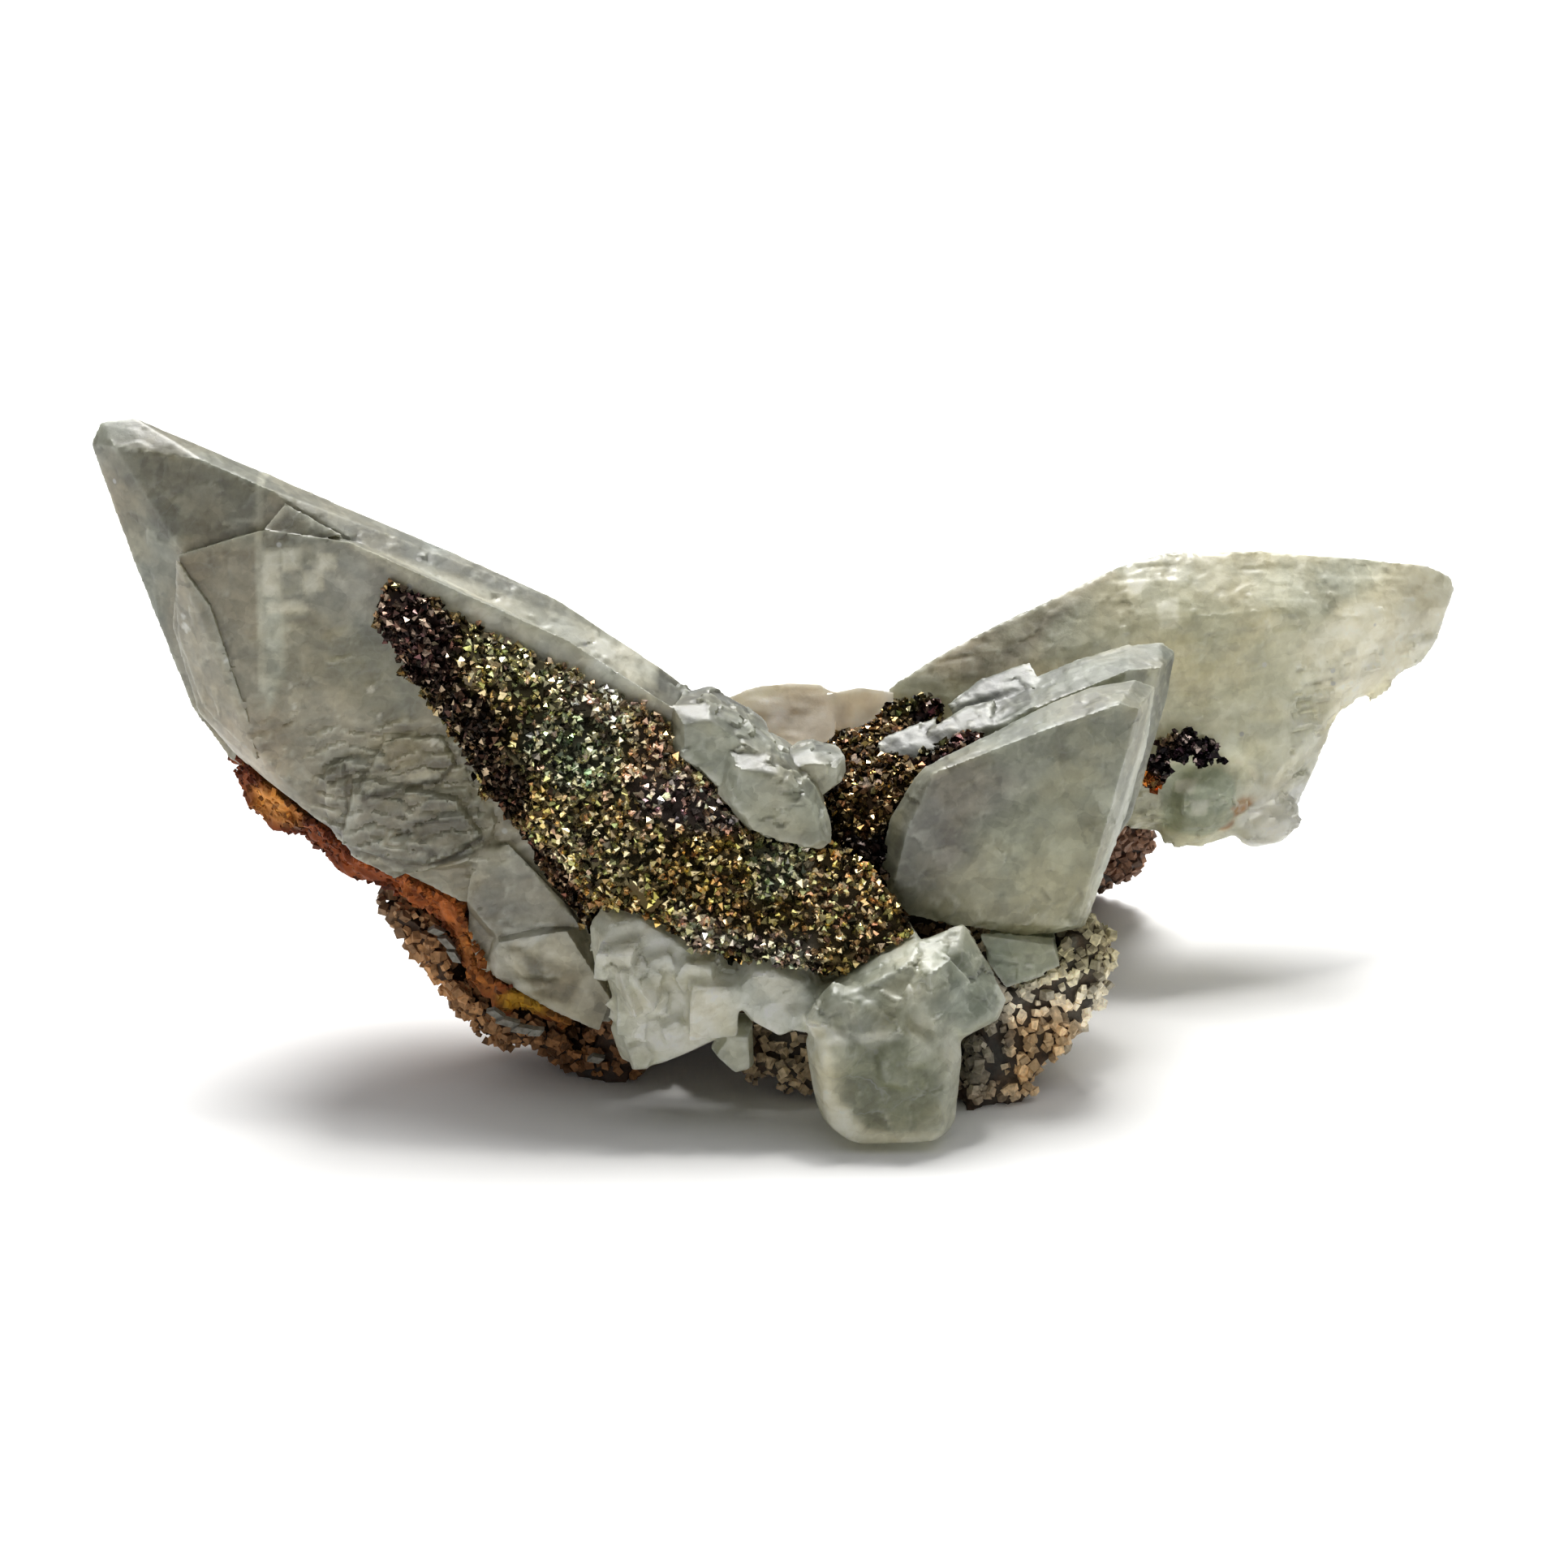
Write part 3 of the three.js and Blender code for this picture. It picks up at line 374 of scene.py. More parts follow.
# Slivers of older calcite, broken off and stuck in the rock's left side.
SLIVERS = [  # place, half length, how far it leans
    ((-17.4, -12.1, 4.9), 0.4, -0.7), ((-16.7, -12.4, 4.5), 0.5, -0.35), ((-15.9, -12.5, 4.1), 0.45, -0.25),
    ((-15.1, -12.4, 3.9), 0.35, -0.1), ((-20.3, -9.6, 8.3), 0.45, -0.9), ((-19.9, -9.7, 7.5), 0.4, -1.1),
    ((-20.9, -9.3, 8.9), 0.35, -0.5), ((-11.7, -11.9, 2.0), 0.35, -0.3),
]
sliver_parts = []
for place, length, lean in SLIVERS:
    turned = np.array([[math.cos(lean), 0, -math.sin(lean)], [0, 1, 0], [math.sin(lean), 0, math.cos(lean)]])
    bar = rhomb[0] * (length, 0.3, 0.2) @ turned.T + place
    sliver_parts.append((bar, rhomb[1], washed(bar, "#85857c", [], 3), False))

host_rock = piece("rock_body", rock_material,
                  [(points, quads, ground, True), (grains, grain_faces, grain_tint, False), *sliver_parts])
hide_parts("host_rock")
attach(host_rock, "root")

# ---------------------------------------------------------------- rusty rind
# The seam of soft limonite between the left crystal and the rock, orange where it is fresh and dark
# red-brown where it weathered. It filled the gap between the two as they grew.

rind_material, tree, shader, place, tint = material("limonite rind")
stain = use(tree, earthy, {"Tint": tint, "Place": place, "Stain": (*tone("#4a1d0c"), 1),
                           "Stain size": 800.0, "Amount": 0.9})
dressed(tree, shader, stain, 0.6, 0.00015,
        {"Specular IOR Level": 0.25, "Subsurface Weight": 0.15, "Subsurface Radius": (1.0, 0.4, 0.15),
         "Subsurface Scale": 0.0006})

RIND_SKIN = 0.2
RIND_GRAIN = (0.08, 0.24)
RIND_GRAINS = 6.0
RIND_WASHES = [
    ((-30.3, -5.5, 15.2), (1.6, 3, 1.3), "#d08a3c", 1.0),
    ((-25.0, -9.0, 12.8), (3.5, 3, 1.6), "#8c4210", 0.9),
    ((-20.5, -9.5, 10.8), (2.5, 3, 1.6), "#b8662c", 1.0),
    ((-18.5, -10.2, 7.5), (1.3, 3, 3.0), "#b06c30", 1.0),
    ((-15.5, -11.5, 5.2), (1.6, 3, 0.9), "#c9982c", 1.0),
    ((-12.5, -12.0, 4.4), (1.8, 3, 0.9), "#a8702c", 0.9),
]
rng = np.random.default_rng(4)
corners, triangles = solid("rusty_rind")
points, quads = fused(corners, triangles, RIND_SKIN)
facing = outward(points, quads)
points += facing * (0.4 * ragged(points, 1.1, 15) + 0.2 * ragged(points, 0.5, 16))[:, None]
rind_tint = washed(points, "#87431a", RIND_WASHES, 17, edge=0.7)
places, ways = spread(corners, triangles, RIND_GRAINS, rng, lambda p, n: n[:, 1] < 0.3)
sizes = rng.uniform(*RIND_GRAIN, (len(places), 1)) * rng.uniform(0.7, 1.3, (len(places), 3))
grains, grain_faces = crystals(sand, places - 0.1 * ways, sizes, rng)
own = np.repeat(rng.uniform(0.3, 1.5, len(places)), len(sand[0]))
grain_tint = washed(grains, "#5c2a0f", RIND_WASHES, 17, edge=0.7) * own[:, None]
rind = piece("limonite_seam", rind_material,
             [(points, quads, rind_tint, True), (grains, grain_faces, grain_tint, False)])
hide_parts("rusty_rind")
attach(rind, "root")

# ---------------------------------------------------------------- left calcite crystal
# A dog-tooth calcite as long as a thumb, milky and slightly see-through. Its faces carry thin growth
# plates that overlap like roof tiles, and its knobbly foot drapes over the top of the chalcopyrite.

# Milky growth: the cloudy colour of calcite, here warmer and there cooler, with faint cleavage tiles,
# straight pale cracks, painted glints as small bright specks, and a fine relief.
milky, given, out = effect(
    "milky growth",
    [("Tint", COLOUR, None), ("Place", VECTOR, None), ("Lightness", FLOAT, 1.4), ("Cloud size", FLOAT, 420.0),
     ("Clouding", FLOAT, 0.6), ("Tiling", FLOAT, 0.2), ("Cracks", FLOAT, 0.3), ("Satin", FLOAT, 0.3)],
    FINISH,
)


def worked(tree, operation, *values):
    """Up to three values worked into one."""
    return add(tree, "ShaderNodeMath", dict(enumerate(values)), operation=operation).outputs[0]


def vectors(tree, operation, *values):
    """Up to three colours or places worked into one."""
    return add(tree, "ShaderNodeVectorMath", dict(enumerate(values)), operation=operation).outputs["Vector"]


def strayed(tree, value, amount):
    """How much brighter or darker than 1 a value between 0 and 1 makes a colour, at that amount."""
    return worked(tree, "MULTIPLY_ADD", worked(tree, "SUBTRACT", value, 0.5), amount, 1.0)


def times(tree, value, *others):
    """Values multiplied."""
    for other in others:
        value = worked(tree, "MULTIPLY", value, other)
    return value


def below(tree, value, limit, fade):
    """1 where the value is under the limit, fading to 0 over fade."""
    return ranged(tree, value, limit, limit + fade, 1.0, 0.0)


def cell_pattern(tree, place, scale, **settings):
    """A pattern of straight-sided cells, each with a value of its own in its Color."""
    return add(tree, "ShaderNodeTexVoronoi", {"Vector": place, "Scale": scale}, **settings).outputs


def channel(tree, colour, name):
    """The red, green or blue of a colour."""
    return add(tree, "ShaderNodeSeparateColor", {"Color": colour}).outputs[name]


place = given["Place"]
warmth = noise(milky, place, 230.0, 3.0, 0.6)["Fac"]
warm_or_cool = over(milky, below(milky, warmth, 0.42, 0.2), (1.1, 1.01, 0.74, 1), (0.99, 1.01, 0.86, 1))
milk = vectors(milky, "MULTIPLY", given["Tint"], warm_or_cool)
clouds = noise(milky, place, given["Cloud size"], 5.0, 0.62)["Fac"]
veils = noise(milky, place, 1700.0, 4.0, 0.65)["Fac"]
swirl = noise(milky, place, 1100.0, 2.0)["Color"]
bent = vectors(milky, "MULTIPLY_ADD", swirl, (0.0009,) * 3, place)
slanted = add(milky, "ShaderNodeMapping", {"Vector": bent, "Rotation": (0.2, 0.45, 0.15),
                                           "Scale": (1.0, 0.7, 1.35)}).outputs["Vector"]
tiles = [channel(milky, cell_pattern(milky, slanted, scale)["Color"], "Red") for scale in (520.0, 1350.0)]
tile_grey = over(milky, 0.45, *tiles)
shade = times(milky, strayed(milky, clouds, given["Clouding"]), strayed(milky, veils, 0.8),
              strayed(milky, tile_grey, given["Tiling"]), given["Lightness"])
milk = shaded(milky, milk, shade)
splits = cell_pattern(milky, slanted, 380.0, feature="DISTANCE_TO_EDGE")["Distance"]
crack = times(milky, below(milky, splits, 0.004, 0.022), below(milky, clouds, 0.45, 0.1), given["Cracks"])
cracked = over(milky, crack, milk, (*tone("#d5d8cc"), 1))
# Painted highlights: a few small cells turn almost white, as glints of light off cleavage planes.
glint_cells = cell_pattern(milky, place, 800.0)
painted_glint = times(milky, below(milky, glint_cells["Distance"], 0.1, 0.06),
              below(milky, channel(milky, glint_cells["Color"], "Green"), 0.05, 0.01))
glinted_milk = over(milky, painted_glint, cracked, (*tone("#e6e8e0"), 1))
SMOOTHEST = 0.285  # smoother than this, the clear stone would sparkle with stray light
satin = worked(milky, "SUBTRACT", worked(milky, "MULTIPLY_ADD", veils, 0.25, given["Satin"]), 0.1)
satin = worked(milky, "MAXIMUM", satin, SMOOTHEST)
relief = worked(milky, "MULTIPLY_ADD", tile_grey, 0.4, veils)
SHOULDER = (1.4,) * 3  # pale places gain less and less lightness, so that none turns plain white
eased = vectors(milky, "DIVIDE", vectors(milky, "MULTIPLY", glinted_milk, SHOULDER),
                vectors(milky, "ADD", glinted_milk, SHOULDER))
put_out(milky, out, Colour=eased, Roughness=satin, Height=relief)


def calcite(name, transmission, density, depth_colour, growth):
    """Calcite: milky growth on a body that lets light in, coloured by what it swallows on the way."""
    made, tree, shader, place, tint = material(name)
    skin = use(tree, milky, {"Tint": tint, "Place": place, **growth})
    dressed(tree, shader, skin, 0.3, 0.00008,
            {"IOR": 1.58, "Transmission Weight": transmission, "Subsurface Weight": 0.35,
             "Subsurface Radius": (1.0, 1.0, 0.85), "Subsurface Scale": 0.0009,
             "Coat Weight": 0.08, "Coat Roughness": 0.12})
    swallow = add(tree, "ShaderNodeVolumeAbsorption", {"Color": (*tone(depth_colour), 1), "Density": density})
    tree.links.new(swallow.outputs["Volume"], tree.nodes["Material Output"].inputs["Volume"])
    return made


PLATE_EDGE = 0.14  # width of the slope at a growth plate's edge
PLATE_RISES = (1, 0.7, -1)  # most plates are raised, some are sunk


def growth_plates(points, facing, along, sizes, step, count, rng, wanted=None):
    """The height of thin rhombic growth plates on a crystal's faces, some raised and some sunk.

    Their long sides run along one direction of the crystal.
    """
    height = np.zeros(len(points))
    spots = np.arange(len(points)) if wanted is None else np.flatnonzero(wanted)
    for spot in rng.choice(spots, count):
        up = facing[spot]
        side = along - up * (along @ up)
        side = side / np.linalg.norm(side)
        long, short = rng.uniform(*sizes, 2) * (1.0, 0.6)
        lean = rng.uniform(-0.5, 0.5)
        near = np.flatnonzero(np.abs(points - points[spot]).max(axis=1) < 1.6 * (long + short))
        offset = points[near] - points[spot]
        a = np.abs(offset @ side + lean * (offset @ np.cross(up, side)))
        b = np.abs(offset @ np.cross(up, side))
        inside = np.minimum((long - a), (short - b)) / PLATE_EDGE
        same_face = (facing[near] @ up > 0.93) & (np.abs(offset @ up) < 0.8)
        height[near] += rng.choice(PLATE_RISES) * step * np.clip(inside, 0, 1) * same_face
    return height


EASED = 0.5  # how far each edge is worn towards the points near it
DISSOLVED = (25, 0.6)  # where a crystal was dissolved: rounds of wear, and how far each one goes
SHARP_RIDGE = 0.06  # how far a sharp ridge stands out from the points near it
WORN_AND_LIT_EDGE = tone("#d3d8d2")  # ridges are whiter than the faces: partly bruised edges, partly a painted highlight
PAINTED_STEP_LIGHT = 1.6  # how much paler painted light makes the steps that look up, and how much darker painted shade makes those that look down


def faceted(node, depth, scale):
    """A crystal's solid as a fine even skin that keeps its flat faces and sharp edges.

    The skin is 2 ** depth faces long, at a scale of 1.
    """
    points, quads = reskinned(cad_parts[node].data.copy(), mode="SHARP", octree_depth=depth, scale=scale,
                              use_remove_disconnected=False)
    return points / MM, quads


def crystal_skin(points, quads, plates, softened=None):
    """The skin with its edges eased and growth plates raised, the way it faces, and its relief.

    Where softened is 1, the crystal was partly dissolved and its shapes run into each other.
    """
    points += EASED * (averaged(points, quads) - points)
    if softened is not None:
        share = DISSOLVED[1] * softened(points)[:, None]
        for _ in range(DISSOLVED[0]):
            points += share * (averaged(points, quads) - points)
    flat = outward(points, quads)
    points += flat * plates(points, flat)[:, None]
    facing = outward(points, quads)
    sharp = ((points - averaged(averaged(points, quads), quads)) * facing).sum(axis=1)
    relief = np.stack([np.clip(sharp / SHARP_RIDGE, -1, 1), facing[:, 2] - flat[:, 2]], axis=1)
    return points, quads, facing, relief


def worn_and_lit_edges(colours, relief, amount):
    """The colours with whiter ridges (partly bruising, partly a painted highlight), painted shade in the
    grooves, and painted light on steps that look up and painted shade on those that look down.
    """
    ridge = amount * np.clip(relief[:, 0], 0, 1)[:, None]
    groove = amount * np.clip(-relief[:, 0], 0, 1)[:, None]
    step = np.clip(1 + PAINTED_STEP_LIGHT * relief[:, 1], 0.4, 1.8)[:, None]
    return (colours + ridge * (WORN_AND_LIT_EDGE - colours)) * (1 - 0.6 * groove) * step


def depth_inside(outline, points, stray=0.0):
    """How far each point lies inside an outline on the front (x, z), whose edge strays that much."""
    if stray:
        points = points + stray * np.stack([ragged(points, 1.6, 80 + k) for k in range(3)], axis=1)
    middle = np.mean(outline, axis=0)
    inside = np.full(len(points), np.inf)
    for start, end in zip(np.array(outline), np.roll(outline, -1, axis=0)):
        across = np.array([start[1] - end[1], end[0] - start[0]]) / math.dist(start, end)
        across *= np.sign(across @ (middle - start))
        inside = np.minimum(inside, (points[:, [0, 2]] - start) @ across)
    return inside


def panelled(colours, points, panels, stray=0.0, reach=9.0):
    """The colours with areas laid over them, each an outline on the front (x, z) with a soft edge.

    Points that lie further back than reach keep their colour.
    """
    for outline, code, strength, soft in panels:
        share = strength * np.clip(depth_inside(outline, points, stray) / soft + 0.5, 0, 1)
        share = (share * (points[:, 1] < reach))[:, None]
        colours = colours + share * (tone(code) - colours)
    return colours


CLEAVAGE = np.array([[1.0, 0.25, 0.3], [-0.2, 0.8, 0.25], [-0.3, -0.15, 1.1]])  # the ways that calcite splits


def cleaved(points, size, seed):
    """The small blocks that calcite splits into: the slope of each block's face, and a value for each."""
    at = points @ CLEAVAGE.T / size
    home = np.floor(at)
    nearest, slope, kind = np.full(len(points), np.inf), np.zeros(len(points)), np.zeros(len(points))
    for step in itertools.product((-1, 0, 1), repeat=3):
        cell = home + step
        away = at - cell - np.stack([dice(cell, seed + k) for k in range(3)], axis=1)
        distance = np.abs(away).max(axis=1)
        closer = distance < nearest
        nearest[closer] = distance[closer]
        tilt = np.stack([2 * dice(cell[closer], seed + 3 + k) - 1 for k in range(3)], axis=1)
        slope[closer] = size * (away[closer] * tilt).sum(axis=1)
        kind[closer] = dice(cell[closer], seed + 6)
    return slope, kind


def mottled(colours, points, size, amount, seed):
    """The colours lighter in some cleavage blocks and darker in others."""
    return colours * (1 + amount * (cleaved(points, size, seed)[1] - 0.5))[:, None]


def painted_top_light(colours, facing, code, strength):
    """Painted light and shade: the faces that look up are given another colour, which sets how bright they
    look under the overhead lamp.
    """
    share = (strength * rising(facing[:, 2], 0.45, 0.2))[:, None]
    return colours + share * (tone(code) - colours)


grey_calcite = calcite("grey calcite", 0.5, 130.0, "#c9c6ae",
                       {"Lightness": 1.75, "Clouding": 1.6, "Tiling": 0.8, "Cracks": 0.1, "Satin": 0.43})
LEFT_WASHES = [
    ((-34.5, -3.3, 33.0), (5.2, 4, 3.6), "#706c5f", 1.0),
    ((-38.9, -0.6, 36.0), (1.6, 3, 1.6), "#9a9d96", 0.8),
    ((-37.2, -2.0, 27.6), (1.6, 4, 5.0), "#7f827b", 0.9),
    ((-32.3, -5.7, 29.0), (2.6, 3, 2.6), "#8d8371", 0.9),
    ((-34.0, -5.1, 22.5), (2.4, 3, 4.5), "#948c7c", 0.9),
    ((-31.6, -6.5, 19.0), (2.6, 3, 2.6), "#ab9a88", 0.9),
    ((-28.3, -6.6, 29.5), (3.6, 3, 2.4), "#97927a", 1.0),
    ((-26.5, -7.2, 25.3), (3.6, 3, 3.4), "#777366", 0.9),
    ((-24.6, -7.4, 27.6), (2.4, 3, 2.0), "#959690", 0.8),
    ((-27.0, -8.8, 19.0), (3.0, 3, 3.6), "#988f80", 0.9),
    ((-22.5, -9.8, 16.6), (4.0, 3, 3.6), "#857c70", 0.9),
    ((-20.5, -8.7, 21.5), (2.2, 3, 3.6), "#7b766c", 0.9),
    ((-20.0, -3.0, 29.5), (12, 5, 2.6), "#989ea6", 0.9),
    ((-13.2, -4.9, 25.6), (6.0, 4, 2.2), "#959b98", 0.8),
    ((-16.9, -11.1, 12.0), (3.4, 3, 2.6), "#8a857f", 0.9),
    ((-14.5, -12.4, 7.4), (3.4, 3, 3.4), "#ece2ca", 0.95),
    ((-2.5, -12.6, 19.8), (6.0, 5, 4.0), "#c6ccbe", 1.0),
]
PALE_TILES = [  # creamy cleavage tiles high on the face, as outlines on the front (x, z)
    [(-30.4, 30.6), (-29.5, 30.8), (-29.5, 28.2), (-30.5, 28.2)],
    [(-29.3, 30.9), (-28.2, 31.0), (-28.2, 29.8), (-29.3, 29.7)],
    [(-28.2, 29.7), (-27.0, 29.9), (-26.9, 28.7), (-28.2, 28.5)],
    [(-27.3, 30.7), (-26.2, 30.8), (-26.2, 30.0), (-27.2, 29.8)],
    [(-30.3, 27.8), (-28.3, 28.1), (-27.9, 27.5), (-30.2, 27.2)],
]
LEFT_PANELS = [  # areas on the front: outline, colour, strength, width of the soft edge
    # painted shade: the dark tip face, standing in for a dark reflection
    ([(-39.6, 36.2), (-38.2, 36.0), (-34.1, 34.8), (-30.7, 33.3), (-30.6, 31.7), (-32.6, 31.4), (-35.7, 30.2),
      (-40.3, 35.2)], "#64625a", 0.95, 0.3),
    # a painted highlight along the top of the ledge, and painted shadow in the two dark triangles under it
    ([(-32.9, 32.0), (-30.7, 32.3), (-30.7, 32.0), (-32.9, 31.75)], "#aaaca2", 0.8, 0.15),
    ([(-33.3, 31.3), (-30.6, 31.9), (-30.5, 31.3)], "#55544b", 0.8, 0.2),
    ([(-30.6, 31.9), (-29.0, 32.8), (-26.2, 31.5), (-30.5, 30.9)], "#514f46", 0.9, 0.3),
    ([(-35.7, 30.1), (-30.5, 31.0), (-30.5, 24.7)], "#7e7465", 0.9, 0.2),
    ([(-30.95, 34.2), (-30.55, 34.2), (-30.4, 22.5), (-30.8, 22.5)], "#bcbaab", 0.8, 0.2),
    ([(-30.4, 30.6), (-29.3, 27.1), (-29.4, 23.8), (-30.4, 21.4)], "#b6bab0", 0.8, 0.4),
    *[(tile, "#fdf8e2", 0.9, 0.25) for tile in PALE_TILES],
    ([(-27.2, 25.3), (-25.1, 26.8), (-22.2, 26.0), (-21.5, 21.8), (-23.8, 20.8), (-26.1, 22.5)],
     "#60635a", 0.6, 1.0),
    # painted highlights along the edges of the broken steps, each with a painted shadow line under it
    ([(-25.3, 18.4), (-24.8, 17.8), (-20.6, 18.5), (-20.7, 18.9)], "#c2bdb1", 0.85, 0.12),
    ([(-25.0, 17.8), (-20.6, 18.5), (-20.6, 18.1), (-24.9, 17.3)], "#58554c", 0.6, 0.2),
    ([(-25.3, 18.3), (-24.9, 17.7), (-25.5, 14.6), (-26.1, 14.4)], "#bdb8ac", 0.85, 0.12),
    ([(-27.2, 19.2), (-23.3, 20.6), (-23.3, 20.2), (-27.1, 18.8)], "#b7b2a6", 0.85, 0.12),
    ([(-27.1, 18.8), (-23.3, 20.2), (-23.3, 19.8), (-27.0, 18.3)], "#5f5c53", 0.6, 0.2),
    # painted light on the band above the blade, which lies in shade
    ([(-23.8, 30.4), (-19.5, 28.9), (-13.3, 26.3), (-8.2, 24.0), (-8.2, 23.0), (-13.5, 24.5), (-19.5, 27.0)],
     "#e2e4da", 1.0, 0.4),
    # a painted shadow line under the lowest step
    ([(-21.2, 13.7), (-18.0, 15.1), (-17.8, 14.5), (-20.9, 13.3)], "#3f3c34", 0.8, 0.2),
    ([(-19.0, 13.8), (-17.4, 14.5), (-16.2, 14.1), (-16.2, 13.0), (-18.8, 12.6)], "#aaa89e", 0.8, 0.3),
    ([(-17.0, 9.8), (-13.8, 10.4), (-15.7, 8.8)], "#fffcf0", 1.0, 0.2),
    ([(-17.9, 8.7), (-16.8, 9.5), (-15.9, 6.1), (-17.6, 6.5)], "#fbf5e4", 0.9, 0.3),
    ([(-16.0, 8.9), (-11.9, 8.1), (-13.0, 5.6), (-15.3, 5.9)], "#574e3c", 0.85, 0.6),
]
PAINTED_GLINTS = [  # painted glints, small bright highlights: place on the front (x, z) and half width
    (-35.2, 25.8, 0.3), (-35.3, 26.5, 0.2), (-32.7, 24.4, 0.15), (-29.1, 23.1, 0.15), (-28.9, 21.9, 0.15),
    (-24.4, 23.1, 0.2), (-20.8, 20.5, 0.25), (-20.3, 20.3, 0.2), (-20.6, 18.6, 0.2), (-23.9, 21.6, 0.15),
]
LEFT_STEPS = [  # broken growth plates on the lower face: outline, rise, width of the bevel
    ([(-27.5, 19.1), (-23.3, 20.6), (-20.3, 20.7), (-19.5, 19.2), (-20.3, 18.2), (-25.2, 17.0), (-26.5, 14.2),
      (-27.8, 15.0)], 0.3, 0.2),
    ([(-27.0, 18.5), (-25.8, 18.9), (-25.8, 14.5), (-27.0, 15.3)], 0.2, 0.15),
    ([(-26.0, 19.0), (-23.6, 19.5), (-23.2, 18.8), (-25.7, 18.3)], 0.2, 0.15),
    ([(-25.4, 18.4), (-24.2, 18.2), (-20.6, 18.9), (-19.4, 17.2), (-18.0, 15.2), (-19.6, 14.3), (-21.2, 13.6),
      (-23.9, 13.8), (-26.1, 14.3)], 0.5, 0.25),
    ([(-22.4, 17.7), (-18.9, 17.9), (-18.5, 17.1), (-22.2, 16.9)], 0.15, 0.15),
    ([(-22.4, 16.6), (-18.3, 16.7), (-18.1, 16.0), (-22.4, 15.9)], 0.15, 0.15),
    ([(-24.4, 15.1), (-19.6, 15.0), (-20.2, 14.3), (-24.2, 14.4)], 0.12, 0.15),
    ([(-23.1, 15.4), (-22.0, 15.5), (-22.0, 15.2), (-23.1, 15.1)], -0.3, 0.15),
]


def broken_face(points):
    """1 on the lower front face, where the growth plates broke and show their layers."""
    x, y, z = points.T
    broken = rising(x, -28.5, 1.5) * falling(x, -16.8, 1.5)
    broken *= rising(z, 12.6, 1.2) * falling(z, 22, 1.5)
    return broken * (y < -5)


def layers(points):
    """Thin overlapping growth layers: 0 at the foot of each, rising to 1 at its upper edge.

    The layers run straight from break to break and carry on at another height and slope.
    """
    along = (points @ (1.0, 0.0, 0.45) + 0.15 * ragged(points, 1.0, 71)) / 2.1
    part = np.floor(along)
    shift, slope = (dice(np.stack([part, 0 * part, 0 * part], axis=1), seed) for seed in (72, 73))
    at = (points[:, 2] + (along - part - 0.5) * (1.3 * slope - 0.9) + 2 * shift) / 0.85
    return at - np.floor(at)


def left_plates(points, facing):
    """The left crystal's relief: its growth plates, its broken steps and its knobbly drape."""
    along = np.array([1.0, 0.0, 0.28])
    rng = np.random.default_rng(21)
    main = (facing[:, 1] < -0.8) & (points[:, 0] < -14)
    upper = main & (points[:, 2] > 21) & (points[:, 0] > -31)
    height = growth_plates(points, facing, along, (0.3, 0.9), 0.05, 90, rng, upper)
    low = main & (points[:, 2] < 21)
    height += growth_plates(points, facing, along, (0.25, 1.0), 0.06, 200, rng, low)
    height += growth_plates(points, facing, along, (1.0, 3.5), 0.02, 40, rng, facing[:, 2] < 0.4)
    pitted = (facing[:, 2] > 0.6) & (points[:, 0] > -18) & (points[:, 0] < -10)
    height += growth_plates(points, facing, along, (0.2, 0.5), 0.1, 24, rng, pitted)
    for outline, rise, bevel in LEFT_STEPS:
        height += rise * np.clip(depth_inside(outline, points, 0.12) / bevel, 0, 1) * (facing[:, 1] < -0.6)
    drape = rising(points[:, 0], -7.5, 1.5) * rising(points[:, 2], 13, 1.5)
    slope, kind = cleaved(points, 1.5, 61)
    height += (0.03 + 0.09 * drape) * slope + (0.02 + 0.06 * drape) * (kind - 0.5)
    return height + 0.13 * broken_face(points) * layers(points) + 0.02 * ragged(points, 1.4, 31)


def plates_worn(points):
    """1 on the lower face, where the growth plates broke, and a little on the drape."""
    drape = rising(points[:, 0], -7, 2) * (points[:, 2] > 13)
    return np.maximum(broken_face(points), 0.08 * drape)


points, quads = faceted("left_calcite_crystal", 8, 0.86)
points, quads, facing, relief = crystal_skin(points, quads, left_plates, plates_worn)
# Painted shade, a little cooler, on the faces that look up.
colours = painted_top_light(washed(points, "#868075", LEFT_WASHES, 41), facing, "#686b65", 0.6)
colours = painted_top_light(colours, facing, "#3a3c37", 0.7 * (points[:, 0] > -9))  # painted shade on the drape's faces that look up
colours = panelled(colours, points, LEFT_PANELS, 0.1, reach=0.8)
# Painted highlights: a tiny white square at each glint.
for x, z, size in PAINTED_GLINTS:
    spot = [(x - size, z), (x, z + size), (x + size, z), (x, z - size)]
    colours = panelled(colours, points, [(spot, "#ffffff", 1.0, 0.1)])
colours = worn_and_lit_edges(colours, relief, 0.35)
colours = mottled(mottled(colours, points, 1.5, 0.5, 61), points, 0.6, 0.3, 67)
# Painted light and shade on the broken layers: each is darker at its foot and paler towards its upper edge.
colours *= (1 + 0.7 * broken_face(points) * (layers(points) ** 2 - 0.4))[:, None]
left_crystal = piece("left_crystal", grey_calcite, [(points, quads, colours, True)])
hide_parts("left_calcite_crystal")
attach(left_crystal, "root")

# ---------------------------------------------------------------- right calcite crystal
# The broad crystal at the back right, cream and cloudier than the rest, broken off along its right
# edge. A cream lobe and a clear lump hang from its lower edge, with specks of rust on them.

